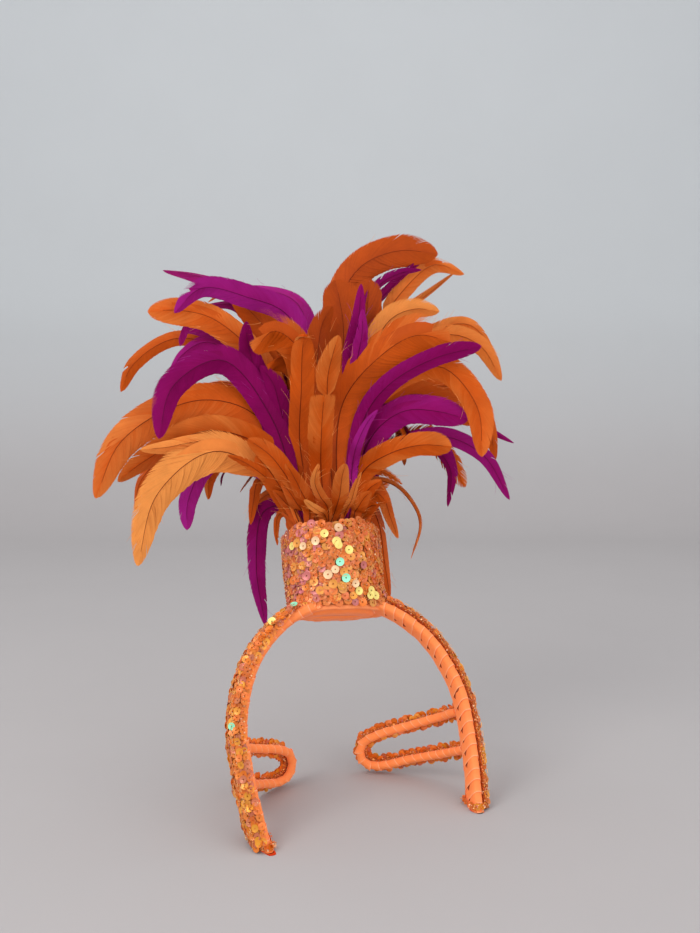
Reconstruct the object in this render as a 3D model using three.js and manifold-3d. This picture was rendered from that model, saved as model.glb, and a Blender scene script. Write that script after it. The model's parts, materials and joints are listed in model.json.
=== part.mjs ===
// A carnival feather headdress: a ribbon-wrapped arch worn from ear to ear, wire loops that hug the
// back of the head, a sequin cuff on the crown and a plume of rooster tail feathers standing in it.
// Millimetres, +Z up. It leans back on a table, on the ends of its legs and the tips of its loops.
// Built in the arch's own frame: x across the head, y towards the back, z up along the legs.

import * as THREE from 'three';
import { mergeVertices } from 'three/addons/utils/BufferGeometryUtils.js';
import Module from 'manifold-3d';

const manifold = await Module();
manifold.setup();

// Driving dimensions
const gap = 0.3;
const leanBack = THREE.MathUtils.degToRad(25.5);

const bandWidth = 16;
const bandThickness = 7.8;
const bandCorner = 2.2;
const trimThickness = 3.4;
const trimWidth = 15.6;
const scallopPitch = 13;
const scallopDepth = 1.5;

// Inner face of the arch, from a foot to the crown
const archInside = [
  { x: 71.4, z: -8 },
  { x: 72.2, z: 0 },
  { x: 77.0, z: 41 },
  { x: 76.4, z: 80 },
  { x: 62.7, z: 114 },
  { x: 40.2, z: 136 },
  { x: 18.0, z: 145.4 },
];
const crownHeight = 146;
const archSteps = 28;

// Centre of the wire of a loop, from its upper end at the leg round to its lower end
const wireRadius = 3.2;
const loopWay = [
  { x: 81.2, y: 8.8, z: 66.3, progress: 0 },
  { x: 76.5, y: 28, z: 65.8, progress: 0.25 },
  { x: 60, y: 46, z: 64.2, progress: 0.6 },
  { x: 35, y: 60.1, z: 60.9, progress: 0.92 },
  { x: 27, y: 68.5, z: 52.1, progress: 1 },
  { x: 36.6, y: 70.4, z: 40.7, progress: 0.92 },
  { x: 60, y: 52, z: 40.6, progress: 0.6 },
  { x: 75.5, y: 30, z: 40, progress: 0.25 },
  { x: 80.6, y: 8.8, z: 39.6, progress: 0 },
];
const outwardAtLeg = new THREE.Vector3(0.97, 0.25, 0.12).normalize();
const outwardAtTip = new THREE.Vector3(0.58, 0.73, 0.35).normalize();
const loopTrimThickness = 2.8;
const loopTrimWidth = 13.6;
const loopSteps = 28;
const scallopSteps = 3;

// The cuff is round at its mouth and drawn in from front to back at its foot, where it is sewn
// round a flat pad. Its axis stands behind the middle of the band and tilts to one side.
const cuffTilt = THREE.MathUtils.degToRad(4.3);
const cuffFoot = new THREE.Vector3(3, 9.5, crownHeight - 0.5);
const cuffRadius = 34;
const cuffFootDepth = 21;
const cuffWall = 2.5;
const cuffHeight = 60;
const cuffSides = 24;
const cuffBulge = 0.9;
const rimWave = 1.2;
const rimWaves = 5;
const padThickness = 9;
const padFlange = 2;

// How far the braid of the arch runs in under the cuff before it is trimmed to the cuff's outline,
// as a share of the arch's length from a foot
const bandTrimEnd = 0.46;

// The view that the feather chart is drawn in: the viewer stands in front and to the left, and a
// place in it is so many millimetres across and up from a point just above the cuff's mouth
const viewTurn = THREE.MathUtils.degToRad(22.9);
const viewPitch = THREE.MathUtils.degToRad(5.7);
const viewer = { across: -15.9, distance: 667, height: 306 };
const chartRise = 4.2;

// A feather leaves the mouth at root and passes rise, crest and fall to its tip. Width is the vane's
// at its broadest and taper the share of its length that narrows to the tip. Toward is how far the
// tip comes to the viewer, face turns the vane on its shaft, and twist turns it more at the tip.
const featherColumns = [
  'dye', 'root', 'riseAcross', 'riseUp', 'crestAcross', 'crestUp', 'fallAcross', 'fallUp',
  'tipAcross', 'tipUp', 'width', 'taper', 'toward', 'face', 'twist',
];
const upperLeft = [
  ['magenta', -8, -34, 130, -72, 173, -97, 182, -121, 185, 15, 0.5, -55, 48, 0],
  ['magenta', -8, -13, 128, -24, 163, -50, 172, -76, 171, 16, 0.35, -30, 18, 0],
  ['magenta', -10, -27, 150, -60, 167, -93, 173, -113, 155, 12, 0.3, 25, -20, 25],
  ['orange', -10, -45, 112, -82, 149, -110, 156, -133, 157, 21, 0.15, 20, 20, 0],
  ['orange', -8, -28, 135, -62, 172, -76, 170, -86, 163, 12, 0.4, -70, 30, 0],
  ['magenta', -8, -32, 125, -66, 160, -80, 161, -92, 159, 13, 0.4, -60, 40, 0],
  ['orange', -8, -30, 112, -46, 144, -57, 157, -69, 165, 25, 0.14, -20, -15, 0],
  ['orange', -6, -18, 100, -31, 134, -45, 140, -58, 127, 23, 0.3, 45, -15, 20],
  ['orange', -6, -18, 90, -27, 116, -38, 122, -50, 113, 21, 0.2, 30, 15, 0],
  ['orange', -12, -52, 110, -106, 137, -139, 118, -148, 98, 12, 0.25, -50, 38, 0],
  ['magenta', -12, -45, 105, -92, 141, -111, 141, -108, 130, 11, 0.15, -35, 25, 0],
  ['magenta', -12, -46, 100, -86, 135, -103, 126, -114, 111, 12, 0.4, 5, 20, 0],
  ['magenta', -13, -40, 76, -74, 121, -110, 104, -122, 65, 26, 0.2, 50, -12, 0],
  ['magenta', -12, -40, 80, -55, 115, -61, 135, -62, 151, 26, 0.3, 25, 15, 0],
  ['magenta', -11, -29, 62, -36, 90, -40, 104, -49, 117, 21, 0.35, 30, -15, 0],
  ['orange', -12, -44, 84, -62, 101, -76, 105, -90, 104, 18, 0.25, -45, 30, 0],
];
const lowerLeft = [
  ['orange', -14, -50, 79, -92, 93, -148, 66, -168, 21, 25, 0.4, 30, 18, 0],
  ['orange', -15, -42, 54, -86, 70, -133, 48, -153, 33, 20, 0.4, 40, -15, 0],
  ['orange', -15, -42, 48, -88, 62, -115, 58, -134, 56, 9, 0.2, 58, 20, 0],
  ['orange', -13, -39, 34, -82, 55, -123, 24, -139, -28, 30, 0.5, 65, 12, 0],
  ['orange', -16, -44, 46, -104, 57, -133, 35, -138, 12, 14, 0.3, -15, 30, 0],
  ['magenta', -16, -38, 34, -84, 47, -100, 20, -101, -2, 14, 0.15, -10, -15, 0],
  ['orange', -16, -36, 30, -74, 48, -85, 35, -87, 22, 10, 0.2, -35, 25, 0],
  ['magenta', -16, -34, 28, -68, 46, -76, 38, -77, 30, 8, 0.5, -50, 55, 0],
  ['orange', -18, -34, 28, -50, 34, -54, 18, -56, 2, 10, 0.4, -15, -25, 0],
  ['orange', -18, -30, 18, -43, 24, -52, 16, -56, 3, 9, 0.4, -40, 30, 0],
  ['magenta', -20, -32, 15, -47, 11, -51, -28, -45.5, -71, 14, 0.55, -25, 15, 0],
  ['orange', -20, -29, 10, -36, 9, -38, -2, -37, -13, 6, 0.4, -10, -20, 0],
];
const centre = [
  ['orange', -7, -21, 60, -20, 100, -19, 124, -18, 139, 17, 0.15, 50, -15, 0],
  ['orange', -2, -7, 40, -7, 66, -5, 86, -3, 102, 20, 0.12, 58, 10, 0],
  ['orange', 2, 2, 60, 0, 92, -2, 114, 4, 141, 18, 0.55, 46, 12, 0],
  ['orange', 4, 9, 88, 36, 123, 64, 139, 88, 135, 28, 0.15, 50, -15, 0],
  ['orange', -3, -8, 100, -7, 130, -4, 148, 2, 160, 17, 0.2, 15, 25, 0],
  ['orange', 4, 9, 110, 10, 148, 7, 168, 3, 182, 30, 0.1, 5, -18, 0],
  ['orange', 6, 20, 100, 25, 140, 28, 165, 29, 183, 24, 0.1, -10, 15, 0],
  ['magenta', 6, 13, 90, 17, 128, 21, 150, 23, 176, 16, 0.45, 30, 40, -40],
  ['orange', 2, 5, 152, 20, 195, 50, 206, 79, 199, 21, 0.12, -40, -15, 0],
];
const upperRight = [
  ['orange', 7, 34, 138, 56, 174, 76, 189, 98, 184, 14, 0.25, -60, 25, 0],
  ['magenta', 7, 30, 155, 42, 170, 56, 184, 71, 195, 15, 0.4, -45, 72, 0],
  ['magenta', 7, 27, 160, 37, 176, 52, 184, 67, 186, 15, 0.4, -30, 70, 0],
  ['orange', 8, 40, 140, 60, 160, 76, 172, 91, 184, 12, 0.4, -75, 72, 0],
  ['orange', 8, 28, 118, 44, 150, 62, 158, 80, 157, 14, 0.15, -5, 20, 0],
  ['orange', 8, 44, 115, 84, 145, 103, 146, 118, 131, 12, 0.3, -50, 50, 0],
  ['orange', 8, 42, 102, 84, 139, 110, 131, 124, 106, 13, 0.3, -15, 30, 0],
  ['magenta', 8, 20, 68, 45, 105, 78, 123, 110, 131, 19, 0.2, 45, 20, 0],
  ['orange', 9, 44, 98, 80, 115, 105, 88, 109, 50, 20, 0.25, 35, -15, 0],
  ['orange', 9, 30, 80, 58, 101, 84, 92, 106, 74, 22, 0.2, -10, 20, 0],
  ['magenta', 9, 26, 68, 50, 88, 76, 87, 102, 78, 16, 0.15, 10, -15, 0],
  ['magenta', 10, 26, 50, 48, 72, 74, 79, 100, 66, 16, 0.2, 25, 15, 0],
  ['orange', 9, 48, 92, 96, 100, 114, 78, 121, 49, 15, 0.25, -55, 35, 0],
  ['magenta', 9, 45, 72, 86, 82, 112, 72, 134, 61, 10, 0.5, -60, 30, 0],
];
const lowerRight = [
  ['magenta', 11, 38, 50, 80, 66, 112, 52, 131, 20, 14, 0.4, -25, 20, 0],
  ['orange', 12, 24, 40, 44, 56, 66, 61, 89, 58, 19, 0.12, 50, -12, 0],
  ['magenta', 12, 40, 50, 72, 60, 88, 42, 86, 15, 12, 0.5, -40, 64, 0],
  ['magenta', 12, 42, 54, 72, 64, 85, 54, 93, 37, 14, 0.3, -60, 40, 0],
  ['orange', 12, 42, 56, 72, 66, 87, 50, 99, 29, 16, 0.12, -70, 30, 0],
  ['orange', 14, 28, 32, 46, 31, 65, 6, 59, -23, 13, 0.5, 12, 58, 0],
  ['orange', 13, 24, 33, 34, 41, 43, 38, 53, 31, 8, 0.4, -5, 30, 0],
  ['orange', 15, 28, 28, 38, 24, 44, 8, 50, -8, 12, 0.4, -20, 20, 0],
  ['orange', 20, 30, 14, 36, 2, 39.5, -25, 44, -52, 12, 0.3, -34, 15, 0],
  ['magenta', 14, 18, 13, 23, 20, 29, 29, 38, 42, 7, 0.5, -15, 30, 0],
  ['orange', 16, 22, 12, 30, 22, 36, 29, 44, 33, 14, 0.3, -22, 20, 0],
];
const chart = [upperLeft, lowerLeft, centre, upperRight, lowerRight].flat();

// The feathers behind, in tiers that fan away from the viewer like the spokes of half a wheel.
// They leave the mouth on a ring, rise to up, and droop at the end of their reach.
const backTiers = [
  { feathers: 7, ring: 24, up: 94, reach: 88, droop: 46 },
  { feathers: 4, ring: 18, up: 140, reach: 80, droop: 40 },
];
const backFan = THREE.MathUtils.degToRad(62);
const backSpread = 0.72;
const backVane = { width: 20, taper: 0.2, face: 0, twist: 0 };

// Shares of the chart's toward that a feather has reached at each of its six points
const towardShares = [0.05, 0.12, 0.34, 0.66, 0.85, 1];

// Quills start quillDepth below the mouth, and cross it up to rootReach nearer or farther than its
// middle. Their bundle spreads from bindRadius at the pad to stemSpread at the mouth, and closes
// stemKnot above it.
const quillDepth = 24;
const quillLean = quillDepth * Math.tan(leanBack);
const rootReach = 20;
const stemKnot = 32;
const stemSpread = 28;
const bindRadius = 10.5;
const bundleSides = 10;

// A vane is narrow at its foot and broadens to full width along its shaft
const vaneFoot = 0.16;
const vaneFull = 0.62;
const stations = [0.1, 0.32, 0.52, 0.7, 0.85, 0.96, 1];
const tipShare = 0.1;
const vaneThickness = 0.9;

// Colours
const ribbonOrange = new THREE.MeshStandardMaterial({ color: 0xff7a45, roughness: 0.55, metalness: 0 });
const sequinOrange = new THREE.MeshStandardMaterial({ color: 0xe2702a, roughness: 0.3, metalness: 0.4 });
const featherDyes = new THREE.MeshStandardMaterial({ color: 0xd86418, roughness: 0.6, metalness: 0 });

// Solids from geometries and back
function solid(geometry) {
  const bare = geometry.clone();
  for (const name of Object.keys(bare.attributes)) {
    if (name !== 'position') {
      bare.deleteAttribute(name);
    }
  }
  const merged = mergeVertices(bare, 1e-4);
  return new manifold.Manifold(new manifold.Mesh({
    numProp: 3,
    vertProperties: new Float32Array(merged.attributes.position.array),
    triVerts: new Uint32Array(merged.index.array),
  }));
}

function geometryOf(body) {
  const mesh = body.getMesh();
  const geometry = new THREE.BufferGeometry();
  geometry.setAttribute('position', new THREE.BufferAttribute(mesh.vertProperties, mesh.numProp));
  geometry.setIndex(new THREE.BufferAttribute(mesh.triVerts, 1));
  geometry.computeVertexNormals();
  return geometry;
}

// The outer skin alone, with any small hollow that crossing strips shut in filled
function outerShell(body) {
  const shells = body.decompose();
  shells.sort((one, other) => other.volume() - one.volume());
  return shells[0];
}

// A closed skin over rings of equally many points, each ring counter-clockwise seen from its front
function loft(rings) {
  const around = rings[0].length;
  const positions = rings.flat().flatMap((point) => point.toArray());
  const index = [];
  for (let ring = 0; ring < rings.length - 1; ring += 1) {
    for (let side = 0; side < around; side += 1) {
      const next = (side + 1) % around;
      const here = ring * around;
      const there = here + around;
      index.push(here + side, here + next, there + next, here + side, there + next, there + side);
    }
  }
  const last = (rings.length - 1) * around;
  for (let side = 1; side < around - 1; side += 1) {
    index.push(0, side + 1, side);
    index.push(last, last + side, last + side + 1);
  }
  const geometry = new THREE.BufferGeometry();
  geometry.setAttribute('position', new THREE.Float32BufferAttribute(positions, 3));
  geometry.setIndex(index);
  return geometry;
}

function roundedRectangle(width, height, corner) {
  const shape = new THREE.Shape();
  const x = width / 2 - corner;
  const y = height / 2 - corner;
  shape.absarc(x, y, corner, 0, Math.PI / 2);
  shape.absarc(-x, y, corner, Math.PI / 2, Math.PI);
  shape.absarc(-x, -y, corner, Math.PI, Math.PI * 1.5);
  shape.absarc(x, -y, corner, Math.PI * 1.5, Math.PI * 2);
  return shape;
}

// The arch
function archCurve(offset) {
  const half = archInside.map(({ x, z }) => new THREE.Vector3(x, 0, z));
  const mirrored = half.map((point) => point.clone().setX(-point.x));
  const crown = new THREE.Vector3(0, 0, crownHeight);
  const inside = new THREE.CatmullRomCurve3([...mirrored, crown, ...half.toReversed()]);
  if (offset === 0) {
    return inside;
  }
  const points = [];
  for (let step = 0; step <= archSteps; step += 1) {
    const along = inside.getTangentAt(step / archSteps);
    const outward = new THREE.Vector3(-along.z, 0, along.x);
    points.push(inside.getPointAt(step / archSteps).addScaledVector(outward, offset));
  }
  return new THREE.CatmullRomCurve3(points);
}

function archBar(width, thickness, offset, corner) {
  return new THREE.ExtrudeGeometry(roundedRectangle(width, thickness, corner), {
    steps: archSteps,
    curveSegments: 1,
    bevelEnabled: false,
    extrudePath: archCurve(offset),
  });
}

// The table, as a block in the arch's leaning frame
function tableBlock() {
  const size = 500;
  const block = new THREE.BoxGeometry(size, size, size / 5);
  block.translate(0, 0, -size / 10);
  block.rotateX(leanBack);
  return solid(block);
}

function cuffPlace() {
  const place = new THREE.Object3D();
  place.position.copy(cuffFoot);
  place.rotation.y = cuffTilt;
  place.updateMatrix();
  return place.matrix.clone();
}

// A shape turned about the cuff's axis, pulled in from front to back towards the cuff's foot and
// waved at the cuff's mouth
function cuffTurned(profile, sides) {
  const points = profile.map(([radius, height]) => new THREE.Vector2(radius, height));
  const shape = new THREE.LatheGeometry(points, sides).rotateX(Math.PI / 2);
  const position = shape.attributes.position;
  for (let corner = 0; corner < position.count; corner += 1) {
    const x = position.getX(corner);
    const y = position.getY(corner);
    const height = position.getZ(corner);
    const radius = Math.hypot(x, y);
    const opened = THREE.MathUtils.smoothstep(height / cuffHeight, -0.1, 0.9);
    const pull = (cuffRadius - cuffFootDepth) * (1 - opened);
    const wave = Math.cos(Math.atan2(y, x) * rimWaves) * THREE.MathUtils.smoothstep(height, 0.4, cuffHeight);
    position.setY(corner, radius > pull ? (y * (radius - pull)) / radius : 0);
    position.setZ(corner, height + rimWave * wave);
  }
  return shape;
}

function pad() {
  const inner = cuffRadius - cuffWall - gap;
  const flange = cuffRadius - 0.6;
  return cuffTurned([
    [0, 0],
    [flange - 1.2, 0],
    [flange, padFlange / 2],
    [flange - 0.2, padFlange],
    [inner, padFlange],
    [inner, padThickness],
    [0, padThickness],
  ], cuffSides);
}

function headband() {
  const bar = solid(archBar(bandWidth, bandThickness, bandThickness / 2, bandCorner));
  const disc = solid(pad().applyMatrix4(cuffPlace()));
  return geometryOf(bar.add(disc).subtract(tableBlock()));
}

// A flat braid with scalloped edges, along a curve, with its face turned outward
function braid(curve, outwardAt, width, thickness, from, to) {
  const length = curve.getLength() * (to - from);
  const count = Math.round(length / scallopPitch) * scallopSteps;
  const rings = [];
  for (let station = 0; station <= count; station += 1) {
    const share = from + ((to - from) * station) / count;
    const swell = Math.abs(Math.sin((Math.PI * station) / scallopSteps));
    const half = width / 2 - scallopDepth * (1 - swell);
    const centrePoint = curve.getPointAt(share);
    const along = curve.getTangentAt(share);
    const side = new THREE.Vector3().crossVectors(outwardAt(share, along), along).normalize();
    const outward = new THREE.Vector3().crossVectors(along, side);
    const section = [
      { side: half, out: -thickness / 2 },
      { side: half - thickness * 0.25, out: thickness / 2 },
      { side: thickness * 0.25 - half, out: thickness / 2 },
      { side: -half, out: -thickness / 2 },
    ];
    rings.push(section.map((corner) => centrePoint.clone()
      .addScaledVector(side, corner.side).addScaledVector(outward, corner.out)));
  }
  return loft(rings);
}

// The braids of the arch, one on each side of the cuff
function bandTrim(from, to) {
  const curve = archCurve(bandThickness + gap + trimThickness / 2);
  const outwardAt = (share, along) => new THREE.Vector3(-along.z, 0, along.x);
  const geometry = braid(curve, outwardAt, trimWidth, trimThickness, from, to);
  const underCuff = cuffTurned([
    [0, -gap],
    [cuffRadius + gap, -gap],
    [cuffRadius + cuffBulge + gap, cuffHeight / 3],
    [0, cuffHeight / 3],
  ], cuffSides).applyMatrix4(cuffPlace());
  return geometryOf(solid(geometry).subtract(tableBlock()).subtract(solid(underCuff)));
}

// The side loops
function loopCurve() {
  return new THREE.CatmullRomCurve3(loopWay.map(({ x, y, z }) => new THREE.Vector3(x, y, z)));
}

function loopOutward(share) {
  const place = share * (loopWay.length - 1);
  const before = loopWay[Math.min(Math.floor(place), loopWay.length - 2)];
  const after = loopWay[Math.min(Math.floor(place) + 1, loopWay.length - 1)];
  const progress = THREE.MathUtils.lerp(before.progress, after.progress, place - Math.floor(place));
  return outwardAtLeg.clone().lerp(outwardAtTip, progress).normalize();
}

function loopWire() {
  const circle = new THREE.Shape().absarc(0, 0, wireRadius, 0, Math.PI * 2);
  return new THREE.ExtrudeGeometry(circle, {
    steps: loopSteps,
    curveSegments: 3,
    bevelEnabled: false,
    extrudePath: loopCurve(),
  });
}

function loopTrim() {
  const wire = loopCurve();
  const offset = wireRadius + 2 * gap + loopTrimThickness / 2;
  const samples = 36;
  const points = [];
  for (let step = 0; step <= samples; step += 1) {
    const share = step / samples;
    points.push(wire.getPoint(share).addScaledVector(loopOutward(share), offset));
  }
  const curve = new THREE.CatmullRomCurve3(points);
  const outwardAt = (share) => loopOutward(curve.getUtoTmapping(share));
  const geometry = braid(curve, outwardAt, loopTrimWidth, loopTrimThickness, 0, 1);
  return geometryOf(solid(geometry).subtract(tableBlock()));
}

function mirroredX(geometry) {
  const copy = geometry.clone().scale(-1, 1, 1);
  const index = copy.index.array;
  for (let corner = 0; corner < index.length; corner += 3) {
    [index[corner], index[corner + 1]] = [index[corner + 1], index[corner]];
  }
  return copy;
}

// The cuff, notched over the arch
function cuff() {
  const inner = cuffRadius - cuffWall;
  const low = padFlange + gap;
  const sleeve = cuffTurned([
    [inner, low],
    [cuffRadius - 0.4, low],
    [cuffRadius + cuffBulge * 0.8, cuffHeight * 0.3],
    [cuffRadius + cuffBulge * 0.8, cuffHeight * 0.65],
    [cuffRadius - 0.5, cuffHeight - 1.5],
    [cuffRadius - cuffWall / 2, cuffHeight],
    [inner, cuffHeight - 1],
    [inner, low],
  ], cuffSides);
  const bar = archBar(bandWidth + 2 * gap, bandThickness + 2 * gap, bandThickness / 2, bandCorner);
  const notch = solid(bar.applyMatrix4(cuffPlace().invert()));
  return geometryOf(solid(sleeve).subtract(notch));
}

// The plume
function mouthPlace() {
  return new THREE.Vector3(0, 0, cuffHeight).applyMatrix4(cuffPlace())
    .applyAxisAngle(new THREE.Vector3(1, 0, 0), -leanBack);
}

function chartView() {
  const right = new THREE.Vector3(Math.cos(viewTurn), -Math.sin(viewTurn), 0);
  const away = new THREE.Vector3(Math.sin(viewTurn), Math.cos(viewTurn), 0);
  const forward = away.clone().multiplyScalar(Math.cos(viewPitch));
  forward.z = -Math.sin(viewPitch);
  const up = new THREE.Vector3().crossVectors(right, forward);
  const eye = right.clone().multiplyScalar(viewer.across).addScaledVector(away, -viewer.distance);
  eye.z = viewer.height;
  eye.sub(mouthPlace());
  return { right, forward, up, eye };
}
const view = chartView();

// A place of the chart, measured from the mouth, and so much nearer to the viewer
function chartPoint(across, up, toward) {
  const seen = view.right.clone().multiplyScalar(across).addScaledVector(view.up, up + chartRise);
  const sight = seen.clone().sub(view.eye);
  const depth = sight.dot(view.forward);
  return view.eye.clone().addScaledVector(sight, 1 - toward / depth);
}

function featherPath(row) {
  const depths = towardShares.map((share) => row.toward * share);
  const rootDepth = THREE.MathUtils.clamp(row.toward / 2, -rootReach, rootReach);
  return new THREE.CatmullRomCurve3([
    chartPoint(row.root * 0.6, -quillDepth, rootDepth * 0.6 + depths[0] + quillLean),
    chartPoint(row.root, 2, rootDepth * 0.7 + depths[1]),
    chartPoint(row.riseAcross, row.riseUp, depths[2]),
    chartPoint(row.crestAcross, row.crestUp, depths[3]),
    chartPoint(row.fallAcross, row.fallUp, depths[4]),
    chartPoint(row.tipAcross, row.tipUp, depths[5]),
  ], false, 'centripetal');
}

function vaneShare(along, taper) {
  const swell = vaneFoot + (1 - vaneFoot) * THREE.MathUtils.smoothstep(along, -0.05, vaneFull);
  const past = THREE.MathUtils.clamp((along - (1 - taper)) / taper, 0, 1);
  return Math.max(tipShare, swell * (1 - past ** 1.8) ** 0.6);
}

// One feather along a path: a flat vane, turned by its face from lying square to a direction
function featherStrip(path, square, vane) {
  const steps = 50;
  const frames = path.computeFrenetFrames(steps, false);
  const flat = new THREE.Vector3().crossVectors(square, frames.tangents[0]).normalize();
  const start = Math.atan2(flat.dot(frames.binormals[0]), flat.dot(frames.normals[0]));
  const rings = stations.map((along) => {
    const frame = Math.round(along * steps);
    const twist = vane.twist * THREE.MathUtils.smoothstep(along, 0.5, 1);
    const turn = start + THREE.MathUtils.degToRad(vane.face + twist);
    const point = path.getPointAt(along);
    const side = frames.normals[frame].clone().multiplyScalar(Math.cos(turn))
      .addScaledVector(frames.binormals[frame], Math.sin(turn));
    const out = new THREE.Vector3().crossVectors(frames.tangents[frame], side);
    const half = Math.max((vane.width * vaneShare(along, vane.taper)) / 2, vaneThickness / 2);
    return [
      point.clone().addScaledVector(side, half).addScaledVector(out, -vaneThickness / 2),
      point.clone().addScaledVector(out, vaneThickness / 2),
      point.clone().addScaledVector(side, -half).addScaledVector(out, -vaneThickness / 2),
    ];
  });
  return loft(rings);
}

function chartStrips() {
  const rows = chart.map((row) => Object.fromEntries(featherColumns.map((name, at) => [name, row[at]])));
  return rows.map((row) => featherStrip(featherPath(row), view.forward, row));
}

function backStrips(tier) {
  const away = view.forward.clone().setZ(0).normalize();
  return Array.from({ length: tier.feathers }, (_, number) => {
    const bearing = backFan * ((2 * number) / (tier.feathers - 1) - 1);
    const outward = view.right.clone().multiplyScalar(Math.sin(bearing) * backSpread)
      .addScaledVector(away, Math.cos(bearing));
    const place = (share, up) => {
      const radius = THREE.MathUtils.lerp(tier.ring, tier.reach, share);
      return outward.clone().multiplyScalar(radius).setZ(up);
    };
    const path = new THREE.CatmullRomCurve3([
      outward.clone().multiplyScalar(tier.ring / 2).addScaledVector(away, -quillLean).setZ(-quillDepth),
      place(0, 2),
      place(0.25, tier.up * 0.62),
      place(0.6, tier.up),
      place(0.85, tier.up - tier.droop * 0.4),
      place(1, tier.up - tier.droop),
    ], false, 'centripetal');
    return featherStrip(path, outward, backVane);
  });
}

// The quills, bound together at the pad and spreading to the cuff's mouth, and the knot of stems
// above it
function quillBundle() {
  const bundle = cuffTurned([
    [0, padThickness + gap],
    [bindRadius, padThickness + gap],
    [bindRadius + 1, cuffHeight * 0.45],
    [stemSpread * 0.8, cuffHeight * 0.8],
    [stemSpread, cuffHeight],
    [stemSpread, cuffHeight + stemKnot * 0.4],
    [stemSpread * 0.7, cuffHeight + stemKnot * 0.8],
    [0, cuffHeight + stemKnot],
  ], bundleSides);
  const lean = new THREE.Matrix4().makeRotationX(-leanBack);
  bundle.applyMatrix4(cuffPlace()).applyMatrix4(lean);
  const mouth = mouthPlace();
  return bundle.translate(-mouth.x, -mouth.y, -mouth.z);
}

function plume() {
  const strips = [chartStrips(), backTiers.map(backStrips)].flat(2);
  const fused = manifold.Manifold.union([quillBundle(), ...strips].map(solid));
  return geometryOf(outerShell(fused));
}

function piece(name, geometry, material) {
  const mesh = new THREE.Mesh(geometry, material.clone());
  mesh.name = name;
  return mesh;
}

// Assembly
const headdress = new THREE.Group();
const leaning = new THREE.Group();
leaning.rotation.x = -leanBack;
headdress.add(leaning);

const loopRight = geometryOf(solid(loopWire()));
const loopTrimRight = loopTrim();
leaning.add(piece('headband', headband(), ribbonOrange));
leaning.add(piece('band_trim_left', bandTrim(0, bandTrimEnd), sequinOrange));
leaning.add(piece('band_trim_right', bandTrim(1 - bandTrimEnd, 1), sequinOrange));
leaning.add(piece('loop_right', loopRight, ribbonOrange));
leaning.add(piece('loop_left', mirroredX(loopRight), ribbonOrange));
leaning.add(piece('loop_trim_right', loopTrimRight, sequinOrange));
leaning.add(piece('loop_trim_left', mirroredX(loopTrimRight), sequinOrange));

const cuffMesh = piece('cuff', cuff(), sequinOrange);
cuffMesh.applyMatrix4(cuffPlace());
leaning.add(cuffMesh);

const plumeMesh = piece('plume', plume(), featherDyes);
plumeMesh.position.copy(mouthPlace());
headdress.add(plumeMesh);

// Origin on the table, in the middle of the whole
headdress.updateMatrixWorld(true);
const reach = new THREE.Box3().setFromObject(headdress, true);
const middle = reach.getCenter(new THREE.Vector3());
headdress.position.set(-middle.x, -middle.y, -reach.min.z);

export default headdress;
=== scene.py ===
import json
import math

import bmesh
import bpy
import numpy as np
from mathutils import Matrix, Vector

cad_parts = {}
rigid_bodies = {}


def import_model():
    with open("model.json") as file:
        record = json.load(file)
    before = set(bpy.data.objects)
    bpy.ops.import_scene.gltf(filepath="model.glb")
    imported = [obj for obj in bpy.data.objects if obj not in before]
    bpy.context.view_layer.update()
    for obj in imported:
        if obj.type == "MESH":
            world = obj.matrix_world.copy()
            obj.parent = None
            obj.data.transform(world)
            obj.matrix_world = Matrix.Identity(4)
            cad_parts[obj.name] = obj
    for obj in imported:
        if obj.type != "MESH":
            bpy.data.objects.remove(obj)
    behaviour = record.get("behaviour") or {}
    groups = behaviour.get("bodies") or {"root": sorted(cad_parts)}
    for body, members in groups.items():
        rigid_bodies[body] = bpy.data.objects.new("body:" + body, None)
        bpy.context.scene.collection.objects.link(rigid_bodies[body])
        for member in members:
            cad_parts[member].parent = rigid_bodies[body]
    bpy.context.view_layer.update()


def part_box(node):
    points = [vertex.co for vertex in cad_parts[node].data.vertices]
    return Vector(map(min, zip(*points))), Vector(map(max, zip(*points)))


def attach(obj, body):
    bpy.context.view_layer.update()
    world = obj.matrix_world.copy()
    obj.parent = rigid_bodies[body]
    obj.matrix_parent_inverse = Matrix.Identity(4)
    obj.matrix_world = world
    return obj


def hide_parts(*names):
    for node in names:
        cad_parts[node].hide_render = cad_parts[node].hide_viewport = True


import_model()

bl_info = {
    "name": "Carnival feather headdress",
    "version": (1, 0, 0),
    "blender": (4, 5, 0),
    "location": "View3D > Sidebar > Headdress",
    "description": "Ribbon, sequins and feathers for a carnival headdress",
    "category": "Object",
}

# Lengths are in millimetres until a mesh is made
MM = 0.001
GAP = 0.3

# The arch, in its own frame: x across the head, y towards the back, z up along the legs
LEAN_BACK = math.radians(25.5)
BAND_WIDTH = 16.0
BAND_THICKNESS = 7.8
TURN_GAPS = [2.0, 4.0, 4.6, 5.2]
CROWN_HEIGHT = 146.0
ARCH_INSIDE = [
    {"x": 71.4, "z": -8},
    {"x": 72.2, "z": 0},
    {"x": 77.0, "z": 41},
    {"x": 76.4, "z": 80},
    {"x": 62.7, "z": 114},
    {"x": 40.2, "z": 136},
    {"x": 18.0, "z": 145.4},
]
BRAID_THICKNESS = 3.4
BRAID_WIDTH = 15.6

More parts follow.
